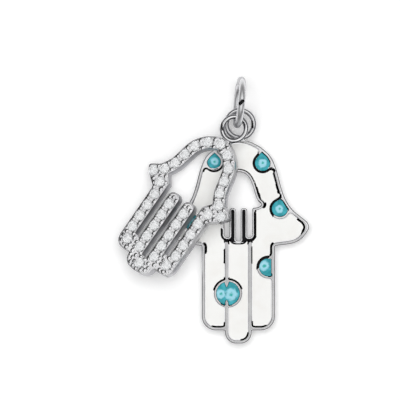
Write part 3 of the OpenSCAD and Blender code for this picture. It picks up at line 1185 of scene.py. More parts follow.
def fullest(scoops: Iterable[Scoop], points: Array) -> Array:
    """Tells how fully each point lies in any of the stretches.

    Args:
        scoops: The filed stretches.
        points: Flat places.

    Returns:
        The largest share of all stretches.
    """
    share = np.zeros(len(points))
    for scoop in scoops:
        share = np.maximum(share, scoop.share(points))
    return share


@dataclass(frozen=True)
class Mark:
    """A short dark reflection, painted on the front of a wire."""

    start: Place
    end: Place
    radius: float

    def covers(self, middles: Array, normals: Array) -> Array:
        """Tells which faces lie on the mark."""
        near = from_segment(middles[:, :2], self.start, self.end) < self.radius
        return near & (normals[:, 2] > UPWARDS)


def is_side(normals: Array, least: float = SIDEWAYS) -> Array:
    """Tells which faces of a wire look sideways."""
    return np.abs(normals[:, 2]) < least


# Middles of the right finger's eye, of the double eye and of the middle fingertip's arc
FINGER_EYE = (2.868, -2.128)
DOUBLE_EYE = (-1.001, -4.646)
FINGERTIP = (0.1, -8.3)

# Border of the upper right eye, from the rim above it round its left side to the rim below
UPPER_EYE_BORDER = (
    (1.7, 8.75),
    (1.5, 8.4),
    (1.36, 7.95),
    (1.5, 7.4),
    (1.9, 7.02),
    (2.4, 6.9),
    (2.9, 7.05),
    (3.4, 7.35),
)

# Filed slopes that lead down to the enamel
ENAMEL_SCOOPS = (
    # Right edge between the upper eye and the thumb's
    Scoop(((3.48, 7.25), (3.98, 4.95)), 0.28, 0.3, 0.08),
    # Right side of the window, ever wider down to its thumb
    Scoop(((0.2, 7.3), (1.0, 7.0), (1.6, 6.4)), 0.03, 0.3),
    Scoop(((1.72, 6.2), (1.8, 5.7)), 0.05, 0.2),
    Scoop(((1.82, 5.5), (1.9, 5.0)), 0.11, 0.25),
    Scoop(((1.92, 4.9), (2.0, 4.4)), 0.17, 0.3),
    Scoop(((2.1, 4.2), (2.55, 3.8)), 0.22, 0.35),
    Scoop(((2.4, 3.85), (2.68, 3.97)), 0.32, 0.28),
    # Below the window and at its right
    Scoop(((-1.6, 1.4), (-1.3, 0.5), (-0.6, 0.25), (0.6, 0.25), (1.3, 0.5), (1.6, 1.4)), 0.06, 0.32, 0.05),
    Scoop(((1.5, 3.3), (1.55, 0.6)), 0.14, 0.3),
    # Upper eyes
    Scoop(((1.98, 8.55), (2.34, 8.97), (2.75, 8.5), (3.0, 8.1)), 0.01, 0.12, 0.1),
    Scoop(UPPER_EYE_BORDER, 0.07, 0.36, 0.27),
    Scoop(((-3.3, 7.3), (-2.9, 7.15), (-2.35, 7.1), (-1.8, 7.25), (-1.5, 7.5)), 0.1, 0.3, 0.1),
    # Right thumb's eye
    Scoop(((3.9, 4.7), (3.3, 4.2), (3.05, 3.6), (3.15, 3.0)), 0.06, 0.36, 0.27),
    Scoop(((4.15, 4.35), (4.85, 3.45)), 0.02, 0.16, 0.12),
    # Eye of the right finger
    Scoop(arc(FINGER_EYE, 1.12, 95, 175), 0.08, 0.32, 0.24),
    Scoop(((3.0, -3.0), (3.2, -2.85)), 0.02, 0.16, 0.12),
    # Double eye
    Scoop(((-1.6, -5.65), (-1.2, -5.75)), 0.02, 0.14, 0.12),
    Scoop(((-0.9, -5.75), (-0.7, -5.7)), 0.02, 0.14, 0.1),
    Scoop(arc(DOUBLE_EYE, 1.42, 105, 160), 0.08, 0.25, 0.1),
    Scoop(arc(DOUBLE_EYE, 1.42, 25, 80), 0.08, 0.25, 0.1),
    # Right thumb's tip and the corners below both thumbs
    Scoop(((5.8, 2.35), (6.2, 1.95), (6.35, 1.5), (6.25, 1.1)), 0.14, 0.3),
    Scoop(((3.2, 0.1), (3.2, -1.1)), 0.14, 0.3),
    Scoop(((-3.2, 0.1), (-3.2, -0.6)), 0.16, 0.3),
    # Walls beside the middle finger
    Scoop(((-1.3, -0.5), (-1.3, -1.6)), 0.14, 0.22),
    Scoop(((1.45, -0.3), (1.45, -1.6)), 0.03, 0.22, 0.16),
    # Fingertips
    Scoop(((-2.4, -7.85), (-1.45, -7.85), (-1.35, -7.6)), 0.08, 0.25),
    Scoop(((1.35, -7.5), (1.4, -7.85), (2.6, -7.85)), 0.1, 0.25),
    Scoop(arc(FINGERTIP, 0.86, 290, 340), 0.07, 0.25),
)

# Filed slopes at the edge of the metal: the window's two bars, its foot and its right side
EDGE_SCOOPS = (
    Scoop(((-0.52, 3.3), (-0.52, 0.8)), 0.24, 0.5),
    Scoop(((0.52, 3.3), (0.52, 0.8)), 0.24, 0.5),
    Scoop(((-1.5, 1.2), (-1.1, 0.5), (0.0, 0.3), (1.1, 0.5), (1.5, 1.2)), 0.24, 0.5),
    Scoop(((1.5, 3.0), (1.5, 1.2)), 0.2, 0.3),
)


# Sub-assemblies


@dataclass
class EnamelledHand:
    """The enamelled hand: silver plate with its loop, white enamel and six eyes."""

    nodes: dict[str, Piece]

    # Heights, and the gap between the enamel and its cell
    plate_top: float = 1.15
    cell_floor: float = 0.6
    enamel_top: float = 1.01
    gap: float = 0.02

    # Outline, with the corner and the radius of each fingertip and the thumb's softer tip
    step: float = 0.06
    rim: float = 0.34
    tips: tuple[tuple[Place, float], ...] = (
        ((-3.55, -8.23), 1.4),
        ((3.55, -8.23), 1.4),
        ((-1.3, -9.5), 1.1),
        ((1.3, -9.5), 1.1),
    )
    thumb_tip: Place = (6.9, 1.45)
    thumb_soft: float = 0.9
    thumb_cell_rounds: int = 120
    cell_corners: tuple[Place, ...] = ((-1.64, -7.89), (1.3, -7.89))
    cell_corner_soft: float = 0.5
    cell_corner_rounds: int = 20

    # Bars of the window: old and new distances from its middle, and where the bars stand
    bar_widening: tuple[tuple[float, ...], ...] = ((0.0, 0.28, 0.76, 1.3), (0.0, 0.235, 0.805, 1.3))
    bars_half_w: float = 1.3
    bars_y: tuple[float, float] = (0.3, 3.6)

    # Rounded and filed outer edge, and the bright lip along the window's bars, which sets in where
    # the edge is filed wider by these widths
    edge_r: float = 0.06
    back_r: float = 0.1
    edge_file: float = 0.13
    lip: float = 0.15
    lip_edge: float = 0.045
    lip_widths: tuple[float, float] = (0.01, 0.05)

    # Filed slopes into the cells, gentler where a lip leads to the white enamel
    file_slope: float = 0.47
    file_in: float = 0.03
    file_out: float = 0.01
    file_ease: float = 0.03
    lip_in: float = 0.09
    lip_out: float = 0.03
    lip_slope: float = 0.2
    wall_run: float = 0.03
    sunk_run: float = 0.05

    # Broad fields between the eyes and the rim, which rise only in the upper part of the hand
    field_in: float = 0.14
    field_slope: float = 0.16
    field_y: tuple[float, float] = (1.0, 1.6)

    # Rows of points beside the outline and the cells, and their least distances
    edge_rows: tuple[float, ...] = (0.012, 0.034, 0.06, 0.09, 0.115, 0.14, 0.17, 0.2, 0.24, 0.27)
    cell_rows_out: tuple[float, ...] = (0.025, 0.05, 0.08, 0.11, 0.14)
    cell_rows_in: tuple[float, ...] = (0.03, 0.06, 0.09, 0.12, 0.16, 0.2, 0.25, 0.3, 0.35, 0.4)
    top_spacing: float = 0.016
    back_spacing: float = 0.03
    clearance: float = 0.008

    # White enamel: rows of points, grid, and how far it dips at filed slopes and towards its middle
    enamel_rows: tuple[float, ...] = (0.02, 0.05, 0.1, 0.18, 0.3)
    enamel_grid: float = 0.3
    dip_reach: float = 0.35
    sag: float = 0.012
    sag_reach: float = 0.5
    finger_half_w: float = 1.4

    # Eyes: rows of points, grid, dome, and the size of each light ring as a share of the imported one
    eyes: tuple[str, ...] = ("crown_left", "crown_right", "thumb_left", "thumb_right", "finger", "double")
    eye_rows: tuple[float, ...] = (0.015, 0.04, 0.08, 0.14, 0.22)
    eye_grid: float = 0.1
    eye_match: float = 0.1
    dome_below: float = 0.06
    dome_rise: float = 0.13
    dome_reach: float = 0.7
    ring_scale: float = 0.85
    wide_ring_scale: float = 1.1
    wide_rings: tuple[str, ...] = ("finger", "double_left", "double_right")

    # Loop: the middle and sizes of its wire, its solder and its painted dark reflection
    loop_at: Spot = (0.17, 11.7, 1.2455)
    loop_r: float = 1.315
    loop_wire: float = 0.235
    foot_y: float = 10.2
    side_above_foot: float = 0.1
    mark: Mark = Mark((1.3, 11.95), (1.38, 11.35), 0.1)

    # Faces that get the painted dark reflection: not the walls between the fingers, nor level ones in the
    # cells
    divider_top: float = 0.3
    black_into: float = 0.25
    black_from: float = 0.03
    level: float = 0.97

    # Faces that are satin: fields beside these eyes, and the lips of the window's fingers
    satin_eyes: tuple[str, ...] = ("crown_left", "crown_right", "thumb_right")
    satin_reach: float = 0.8
    satin_above_floor: float = 0.2
    satin_from_edge: float = 0.14
    satin_from_cell: float = 0.03
    satin_field_up: float = 0.9
    satin_lip_up: float = 0.6

    def __post_init__(self) -> None:
        """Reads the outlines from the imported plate."""
        solid = Solid(self.nodes["hand_plate"])
        edges = [loop.smooth(self.step) for loop in solid.loops_at(0.0, Facing.DOWN)]
        cells = [loop.smooth(self.step) for loop in solid.loops_at(self.cell_floor, Facing.UP)]
        self.outline = [self.with_bars(self.with_tips(loop, 0.0)) for loop in edges]
        self.cells = [self.with_tips(loop, self.rim) for loop in cells]
        self.edge_near = Nearness(self.outline)
        self.cell_near = Nearness(self.cells)
        self.eye_near = Nearness([loop for loop in self.cells if self.is_eye(loop)])

    def with_tips(self, loop: Loop, inset: float) -> Loop:
        """Rounds the fingertips and softens the thumb.

        Args:
            loop: An outline, or the edge of a cell.
            inset: How far a cell lies inside the outline, or 0.

        Returns:
            The rounder line.
        """
        for (x, y), radius in self.tips:
            loop = loop.rounded((x - math.copysign(inset, x), y + inset), radius - inset)
        thumb = (self.thumb_tip[0] - inset, self.thumb_tip[1])
        loop = loop.softened(thumb, self.thumb_soft)
        if inset:
            loop = loop.softened(thumb, self.thumb_soft, self.thumb_cell_rounds)
            for corner in self.cell_corners:
                loop = loop.softened(corner, self.cell_corner_soft, self.cell_corner_rounds)
        return loop

    def with_bars(self, loop: Loop) -> Loop:
        """Draws the bars between the window's fingers a little wider.

        Args:
            loop: An outline.

        Returns:
            The same line with its points at the bars moved sideways.
        """
        x, y = loop.points.T
        wider = np.copysign(np.interp(np.abs(x), *self.bar_widening), x)
        at_bars = (np.abs(x) < self.bars_half_w) & (y > self.bars_y[0]) & (y < self.bars_y[1])
        return Loop(np.column_stack([np.where(at_bars, wider, x), y]))

    def is_plain(self, points: Array) -> Array:
        """Tells the places that lie nearer to the white enamel than to an eye."""
        return self.eye_near(points) > self.rim / 2

    def into_cell(self, points: Array) -> Array:
        """How far each point lies inside a cell, negative beside it."""
        cell = self.cell_near(points)
        return np.where(inside(self.cells, points), cell, -cell)

    def file_width(self, points: Array) -> Array:
        """How far the filed slope reaches into a cell."""
        return widest(ENAMEL_SCOOPS, points, np.where(self.is_plain(points), self.lip_out, self.file_out))

    def filed(self, points: Array, into: Array) -> Array:
        """Height of the filed slope.

        Args:
            points: Flat places.
            into: How far each lies inside a cell, negative beside it.

        Returns:
            The height at each point.
        """
        plain = self.is_plain(points)
        back = widest(ENAMEL_SCOOPS, points, np.where(plain, self.lip_in, self.file_in), Way.BACK)
        run = np.maximum(into + back, 0)
        gentle = np.where(plain, 1 - fullest(ENAMEL_SCOOPS, points), 0)
        drop = self.file_slope * run * eased(run, 0, self.file_ease)
        return self.plate_top - drop + gentle * (self.file_slope - self.lip_slope) * np.maximum(into, 0)

    def lifted(self, points: Array, near: Array) -> Array:
        """Rise of the broad silver fields, from their distance to the nearest line."""
        return self.field_slope * np.maximum(near - self.field_in, 0) * eased(points[:, 1], *self.field_y)

    def top_height(self, points: Array) -> Array:
        """Height of the plate's upper side, with its cells.

        Args:
            points: Flat places.

        Returns:
            The height at each point.
        """
        edge, into = self.edge_near(points), self.into_cell(points)
        into[np.abs(into) < LINE_TOLERANCE] = 0.0
        width = widest(EDGE_SCOOPS, points, self.edge_file)
        outer = np.clip(width - edge, 0, None)
        lip_from, lip_full = (self.edge_file + more for more in self.lip_widths)
        lip = np.clip(self.lip - edge, 0, None) * eased(width, lip_from, lip_full)
        metal = self.filed(points, into) - quarter(edge, self.edge_r) - self.file_slope * outer
        metal = metal + (self.file_slope - self.lip_slope) * lip
        metal = metal + self.lifted(points, np.minimum(edge, -into))
        beyond = into - self.file_width(points) - self.sunk_run
        wall = np.clip(beyond / self.wall_run, 0, 1)
        return np.where(into > 0, metal + wall * (self.cell_floor - metal), metal)

    def bottom_height(self, points: Array) -> Array:
        """Height of the plate's back."""
        return quarter(self.edge_near(points), self.back_r)

    def plate(self) -> Piece:
        """Models the silver plate with its loop.

        Returns:
            The plate, not yet dressed.
        """
        top = [loop.beside(self.edge_rows, Side.LEFT) for loop in self.outline]
        top += [loop.beside(self.cell_rows_out, Side.RIGHT) for loop in self.cells]
        top += [loop.beside(self.cell_rows_in, Side.LEFT) for loop in self.cells]
        top = thinned(np.concatenate(top), self.top_spacing)
        top = top[inside(self.outline, top)]
        top = top[np.minimum(self.edge_near(top), self.cell_near(top)) > self.clearance]
        back_rows = [self.back_r * share for share in FINE_ROUND]
        back = np.concatenate([loop.beside(back_rows, Side.LEFT) for loop in self.outline])
        back = thinned(back[inside(self.outline, back)], self.back_spacing)
        back = back[self.edge_near(back) > self.clearance]
        slab = Slab(self.outline, self.top_height, self.bottom_height, self.cells, top, back)
        plate = slab.skin().object("enamelled_hand_plate")
        ring = wire_ring(self.loop_r, self.loop_wire).placed(Matrix.Translation(self.loop_at))
        foot = Solder(self.cell_floor, self.loop_at[2], self.loop_wire).skin()
        return fused(plate, [ring, foot.placed(Matrix.Translation((self.loop_at[0], self.foot_y, 0)))])

    def fill(
        self, name: str, cells: list[Loop], top: Dome, rows: Sequence[float], spacing: float
    ) -> Piece:
        """Fills cells with enamel.

        Args:
            name: Name of the piece.
            cells: Edges of the cells.
            top: Height of its surface, from the places and their distances from the edge.
            rows: Distances from the edge at which it gets points.
            spacing: Distance between the points farther in.

        Returns:
            The piece.
        """
        loops = [self.pulled_in(cell) for cell in cells]
        near = Nearness(loops)
        edge = np.concatenate([loop.points for loop in loops])
        middle = grid(edge.min(axis=0), edge.max(axis=0), spacing, spacing / 2)
        middle = middle[near(middle) > rows[-1] + spacing / 3]
        points = np.concatenate([loop.beside(rows, Side.LEFT) for loop in loops])
        points = thinned(np.concatenate([points, middle]), rows[0] * THIN_SHARE)
        points = points[inside(loops, points)]
        points = points[near(points) > rows[0] * EDGE_SHARE]
        floor = self.cell_floor + self.gap
        slab = Slab(loops, lambda p: top(p, near(p)), lambda p: np.full(len(p), floor), [], points)
        return slab.skin().object(name)

    def pulled_in(self, loop: Loop) -> Loop:
        """A cell's outline moved into the cell by the enamel's gap."""
        moved = loop.beside([self.gap], Side.LEFT)[: len(loop.points)]
        return Loop(moved[self.cell_near(moved) > self.gap * PULLED_SHARE])

    def white(self) -> tuple[Piece, Piece]:
        """Models the white enamel.

        Returns:
            The enamel of the palm and that of the middle finger.
        """

        def surface(points: Array, near: Array) -> Array:
            """Level enamel that dips where the silver beside it is filed away."""
            low = self.plate_top - self.file_slope * (self.file_width(points) + self.file_in)
            dip = np.maximum(self.enamel_top - low, 0) * (1 - eased(near, 0, self.dip_reach))
            return self.enamel_top - dip - self.sag * eased(near, 0, self.sag_reach)

        palm, finger = [], []
        for loop in self.cells:
            if not self.is_eye(loop):
                narrow = abs(loop.points[:, 0]).max() < self.finger_half_w
                (finger if narrow and loop.area() > 0 else palm).append(loop)
        return (
            self.fill("palm_white_enamel", palm, surface, self.enamel_rows, self.enamel_grid),
            self.fill("finger_white_enamel", finger, surface, self.enamel_rows, self.enamel_grid),
        )

    def eye_middle(self, name: str) -> Array:
        """Middle of a packed eye."""
        return Solid(self.nodes["eye_" + name]).middle()

    def is_eye(self, loop: Loop) -> bool:
        """Tells an eye's cell from a cell for white enamel."""
        away = [np.linalg.norm(loop.middle() - self.eye_middle(name)) for name in self.eyes]
        return loop.area() > 0 and min(away) < self.eye_match

    def eye(self, name: str) -> Piece:
        """Models one eye as a drop of enamel.

        Args:
            name: The eye's name without its prefix.

        Returns:
            The eye, not yet dressed.
        """
        middle = self.eye_middle(name)
        cells = [loop for loop in self.cells if self.is_eye(loop)]
        cell = min(cells, key=lambda loop: np.linalg.norm(loop.middle() - middle))

        def dome(points: Array, near: Array) -> Array:
            """A low dome that stands a little above the rim."""
            rise = np.sqrt(np.clip(near / self.dome_reach, 0, 1))
            return self.plate_top - self.dome_below + self.dome_rise * rise

        return self.fill(f"eye_{name}_enamel", [cell], dome, self.eye_rows, self.eye_grid)

    def iris(self, name: str) -> Iris:
        """Reads the place and size of a light ring.

        Args:
            name: The ring's name without its prefix.

        Returns:
            The ring as its eye's finish draws it.
        """
        solid = Solid(self.nodes["iris_" + name])
        x, y = solid.middle()
        scale = self.wide_ring_scale if name in self.wide_rings else self.ring_scale
        return Iris((float(x), float(y)), solid.reach() * scale)

    def is_painted_dark_reflection(self, middles: Array, normals: Array) -> Array:
        """Chooses the faces that get the painted dark reflection: the filed slopes and the metal between
        the window's fingers.

        Args:
            middles: Middles of the plate's faces.
            normals: Their normals.

        Returns:
            True for each face that gets the painted dark reflection.
        """
        found = (normals[:, 2] > UPWARDS) & (middles[:, 2] > self.cell_floor)
        bars = fullest(EDGE_SCOOPS, middles[:, :2]) > FINISH_SHARE
        filed = fullest(ENAMEL_SCOOPS, middles[:, :2]) > FINISH_SHARE
        found &= bars | filed
        points = middles[found, :2]
        edge, into = self.edge_near(points), self.into_cell(points)
        back = widest(ENAMEL_SCOOPS, points, self.file_in, Way.BACK)
        bars = bars[found] & ((edge > self.lip) | (edge < self.lip_edge)) & (into < self.black_into)
        bars &= points[:, 1] > self.divider_top
        sloping = (into < 0) | (normals[found, 2] < self.level)
        filed = filed[found] & (into > self.black_from - back) & sloping
        found[found] = bars | filed
        return found

    def is_wire_side(self, middles: Array, normals: Array) -> Array:
        """Chooses the sides of the loop's wire."""
        return (middles[:, 1] > self.foot_y + self.side_above_foot) & is_side(normals)

    def is_satin(self, middles: Array, normals: Array) -> Array:
        """Chooses the fields beside the eyes and the lips of the window's fingers.

        Args:
            middles: Middles of the plate's faces.
            normals: Their normals.

        Returns:
            True for each face that is satin.
        """
        away = np.full(len(middles), np.inf)
        for name in self.satin_eyes:
            eye = Solid(self.nodes["eye_" + name])
            off = middles[:, :2] - eye.middle()
            away = np.minimum(away, np.linalg.norm(off, axis=1) - eye.reach())
        found = (normals[:, 2] > self.satin_field_up) & (away < self.satin_reach)
        found &= middles[:, 2] > self.cell_floor + self.satin_above_floor
        points = middles[found, :2]
        beside = self.into_cell(points) < -self.satin_from_cell
        found[found] = (self.edge_near(points) > self.satin_from_edge) & beside
        lips = fullest(EDGE_SCOOPS, middles[:, :2]) > FINISH_SHARE
        lips &= normals[:, 2] > self.satin_lip_up
        lips[lips] = self.edge_near(middles[lips, :2]) < self.lip
        return found | lips

    def build(
        self, silver: Material, satin: Material, shaded: Material, black: Material, white: Material
    ) -> list[Piece]:
        """Models and dresses the whole hand.

        Args:
            silver: Finish of the plate.
            satin: Finish of its fields beside the eyes.
            shaded: Painted shade on the sides of its loop.
            black: Painted dark reflection on its filed slopes, between the window's fingers and on its
                loop.
            white: Finish of the white enamel.

        Returns:
            All its pieces.
        """
        plate = dressed(self.plate(), silver, Slot.SILVER, "hand_plate")
        refinish(plate, satin, self.is_satin)
        # painted shade on the loop's sides, and painted dark reflections on the filed slopes, the window's
        # bars and the loop
        refinish(plate, shaded, self.is_wire_side)
        refinish(plate, black, self.is_painted_dark_reflection)
        refinish(plate, black, self.mark.covers)
        palm, finger = self.white()
        pieces = [
            plate,
            dressed(palm, white, Slot.WHITE, "palm_enamel"),
            dressed(finger, white, Slot.WHITE, "finger_enamel"),
        ]
        for name in self.eyes:
            rings = ("double_left", "double_right") if name == "double" else (name,)
            finish = EyeEnamel(f"eye_{name}_enamel", tuple(self.iris(ring) for ring in rings))
            nodes = ["eye_" + name, *("iris_" + ring for ring in rings)]
            pieces.append(dressed(self.eye(name), finish.make(), Slot.TEAL, *nodes))
        return pieces


@dataclass
class StoneHand:
    """The smaller hand, paved with stones, which lies across the other hand's edge.

    Its own frame has the loop's middle at its origin and its back at height 0.
    """

    nodes: dict[str, Piece]

    # Place: the loop's middle, the turn away from the other hand and the lean, in degrees
    loop_at: Spot = (-0.41, 11.25, 2.10873)
    fan: float = 34.5
    lean: float = 17.392

    # Metal
    step: float = 0.06
    thickness: float = 1.4
    field_drop: float = 0.14
    rim_w: float = 0.09
    rim_run: float = 0.05
    edge_r: float = 0.05
    back_r: float = 0.12
    spacing: float = 0.02
    back_spacing: float = 0.03
    clearance: float = 0.004
    level_tolerance: float = 0.01

    # Stones and their seats, whose depth is a share of the stone; rings of points in a seat, each
    # as a share of the seat's radius, a length added to it and a count
    stone_d: float = 1.0
    stone_gap: float = 0.02
    girdle_z: float = 1.37
    seat_slope: float = 0.92
    seat_depth: float = 0.49
    seat_rings: tuple[tuple[float, float, int], ...] = (
        (1.0, 0.012, 40),
        (1.0, -0.004, 40),
        (0.6, 0.0, 16),
        (0.0, 0.02, 6),
    )

    # Turn from one stone to the next in their seats, as a share of a whole turn
    golden: float = 0.61803398875

    # Grains, and rings of points on a grain, each as a share of its radius and a count
    grain_lift: float = 0.06
    grain_d: float = 0.4
    grain_above: float = 0.05
    least_grain_r: float = 0.18
    grain_rings: tuple[tuple[float, int], ...] = (
        (1.03, 20),
        (0.985, 20),
        (0.86, 16),
        (0.66, 14),
        (0.45, 10),
        (0.25, 6),
    )

    # Spare grains on the bare stretches between the stones
    spare_grain_r: float = 0.19
    spare_step: float = 0.06
    spare_from_edge: float = 0.2
    spare_from_stone: float = 0.07

    # Loop and its painted dark reflections, and the faces that count as walls or as its sides
    loop_r: float = 1.185
    loop_wire: float = 0.235
    foot_y: float = -1.37
    side_above_foot: float = 0.1
    wall_up: float = 0.5
    wall_reach: float = 0.06
    marks: tuple[Mark, ...] = (
        Mark((-1.6, 11.75), (-1.55, 11.15), 0.08),
        Mark((-0.85, 9.86), (-0.35, 9.95), 0.06),
    )

    def __post_init__(self) -> None:
        """Reads the outline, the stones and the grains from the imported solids."""
        fan = Matrix.Rotation(-math.radians(self.fan), 4, "Z")
        lean = Matrix.Rotation(-math.radians(self.lean), 4, "Y")
        down = Matrix.Translation((0, 0, -self.thickness / 2))
        self.place = Matrix.Translation(self.loop_at) @ (fan @ lean) @ down
        to_local = self.place.inverted()
        self.to_local = np.array(to_local)
        solid = Solid(self.nodes["stone_hand"], to_local)
        flats = solid.loops_at(0.0, Facing.DOWN, self.level_tolerance)
        self.outline = [loop.smooth(self.step) for loop in flats]
        self.near = Nearness(self.outline)
        names = sorted(name for name in self.nodes if name.startswith("stone_") and name != "stone_hand")
        self.stones = {name: Solid(self.nodes[name], to_local).middle() for name in names}
        self.grains = self.find_grains(solid)
        LOG.info("%d grains", len(self.grains))

    def find_grains(self, solid: Solid) -> list[tuple[Array, float]]:
        """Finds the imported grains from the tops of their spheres.

        Args:
            solid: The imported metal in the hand's own frame.

        Returns:
            Place and radius of each grain, with the spare ones.
        """
        high = solid.points[solid.points[:, 2] > self.thickness + self.grain_above]
        high = high[inside(self.outline, high[:, :2])]
        found: list[tuple[Array, float]] = []
        while len(high):
            x, y, z = high[np.argmax(high[:, 2])]
            at = np.array((x, y))
            found.append((at, max(float(z) - self.thickness, self.least_grain_r)))
            high = high[np.linalg.norm(high[:, :2] - at, axis=1) > self.grain_d / 2]
        return found + self.spare_grains([at for at, _ in found])

    def spare_grains(self, taken: list[Array]) -> list[tuple[Array, float]]:
        """Finds room for further grains on the bare stretches between the stones.

        Args:
            taken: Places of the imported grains.

        Returns:
            Place and radius of each further grain.
        """
        edge = self.outline[0].points
        places = grid(edge.min(axis=0), edge.max(axis=0), self.spare_step)
        places = places[inside(self.outline, places)]
        places = places[self.near(places) > self.spare_from_edge]
        places = places[self.stone_distance(places) > self.stone_d / 2 + self.spare_from_stone]
        places = places[np.argsort(self.stone_distance(places))]
        spare: list[tuple[Array, float]] = []
        while len(places):
            places = places[from_places(places, taken) > 2 * self.spare_grain_r]
            if len(places):
                taken = [*taken, places[0]]
                spare.append((places[0], self.spare_grain_r))
        return spare

    def stone_distance(self, points: Array) -> Array:
        """Distance of each point from the nearest stone's middle."""
        return from_places(points, self.stones.values())

    def top_height(self, points: Array) -> Array:
        """Height of the upper side: rim, sunk field, seats and grains.

        Args:
            points: Flat places in the hand's own frame.

        Returns:
            The height at each point.
        """
        near = self.near(points)
        rim = self.thickness - quarter(near, self.edge_r)
        z = rim - self.field_drop * eased(near, self.rim_w, self.rim_w + self.rim_run)
        for at, radius in self.grains:
            away = np.linalg.norm(points - at, axis=1)
            lens = self.thickness + self.grain_lift * (1 - (away / radius) ** 2)
            z = np.where(away < radius, np.maximum(z, lens), z)
        away = self.stone_distance(points)
        seat = self.girdle_z - self.seat_depth * self.stone_d - self.stone_gap + self.seat_slope * away
        return np.where(away < self.stone_d / 2 + self.stone_gap, np.minimum(z, seat), z)

    def bottom_height(self, points: Array) -> Array:
        """Height of the back."""
        return quarter(self.near(points), self.back_r)

    def top_points(self) -> Array:
        """Sets free points on the upper side, along its rim and round its seats and grains.

        Returns:
            The points in the hand's own frame.
        """
        rows = [self.edge_r * share for share in RIM_ROUND]
        rows += [self.rim_w, self.rim_w + self.rim_run / 2, self.rim_w + self.rim_run]
        edge = np.concatenate([loop.beside(rows, Side.LEFT) for loop in self.outline])
        edge = thinned(edge, self.spacing)
        edge = edge[inside(self.outline, edge)]
        seat = self.stone_d / 2 + self.stone_gap
        rings = []
        for at in self.stones.values():
            rings += [around(at, seat * share + more, count) for share, more, count in self.seat_rings]
        for at, radius in self.grains:
            rings += [around(at, radius * share, count) for share, count in self.grain_rings]
            rings.append(at[None])
        points = np.concatenate(rings)
        points = np.concatenate([points[inside(self.outline, points)], edge])
        return points[self.near(points) > self.clearance]

    def metal(self) -> Piece:
        """Models the silver of the hand with its loop.

        Returns:
            The metal, not yet dressed.
        """
        rows = [self.back_r * share for share in BACK_ROUND]
        back = np.concatenate([loop.beside(rows, Side.LEFT) for loop in self.outline])
        back = thinned(back[inside(self.outline, back)], self.back_spacing)
        back = back[self.near(back) > self.clearance]
        slab = Slab(self.outline, self.top_height, self.bottom_height, [], self.top_points(), back)
        body = slab.skin().placed(self.place).object("stone_hand_metal")
        ring = wire_ring(self.loop_r, self.loop_wire)
        ring = ring.placed(self.place @ Matrix.Translation((0, 0, self.thickness / 2)))
        foot = Solder(self.thickness / 2 - self.loop_wire, self.thickness / 2, self.loop_wire).skin()
        return fused(body, [ring, foot.placed(self.place @ Matrix.Translation((0, self.foot_y, 0)))])

    def cut_stone(self, name: str) -> Piece:
        """Models one round brilliant, turned in its seat by its number.

        Args:
            name: The stone's name.

        Returns:
            The stone, not yet dressed.
        """
        x, y = self.stones[name]
        turn = Matrix.Rotation(int(name.split("_")[1]) * self.golden * math.tau, 4, "Z")
        place = self.place @ Matrix.Translation((x, y, self.girdle_z)) @ turn
        return Brilliant(self.stone_d).skin().placed(place).object(f"{name}_cut", None)

    def wall_chooser(self, loops: list[Loop]) -> Chooser:
        """Makes a test that chooses the walls on some of the outlines.

        Args:
            loops: The outlines.

        Returns:
            The test.
        """
        near = Nearness(loops)

        def is_wall(middles: Array, normals: Array) -> Array:
            """Chooses the walls that stand on the outlines.

            Args:
                middles: Middles of the metal's faces.
                normals: Their normals.

            Returns:
                True for each face of these walls.
            """
            found = np.abs(normals @ self.to_local[:3, :3].T)[:, 2] < self.wall_up
            points = (middles[found] @ self.to_local[:3, :3].T + self.to_local[:3, 3])[:, :2]
            found[found] = near(points) < self.wall_reach
            return found

        return is_wall

    def is_wire_side(self, middles: Array, normals: Array) -> Array:
        """Chooses the sides of the loop's wire."""
        y = middles @ self.to_local[1, :3] + self.to_local[1, 3]
        return (y > self.foot_y + self.side_above_foot) & is_side(normals)

    def build(
        self, silver: Material, side: Material, shaded: Material, black: Material, clear: Material
    ) -> list[Piece]:
        """Models and dresses the whole hand.

        Args:
            silver: Finish of the metal.
            side: Painted shade on its outer walls.
            shaded: Painted shade on the walls inside its openings and on its wire's sides.
            black: Painted dark reflections on its wire.
            clear: Finish of the stones.

        Returns:
            All its pieces.
        """
        metal = dressed(self.metal(), silver, Slot.SILVER, "stone_hand")
        # painted shade on the walls and on the wire's sides, and painted dark reflections on the wire
        refinish(metal, side, self.wall_chooser([loop for loop in self.outline if loop.area() > 0]))
        refinish(metal, shaded, self.wall_chooser([loop for loop in self.outline if loop.area() < 0]))
        refinish(metal, shaded, self.is_wire_side)
        for mark in self.marks:
            refinish(metal, black, mark.covers)
        stones = [dressed(self.cut_stone(name), clear, Slot.STONE, name) for name in self.stones]
        return [metal, *stones]


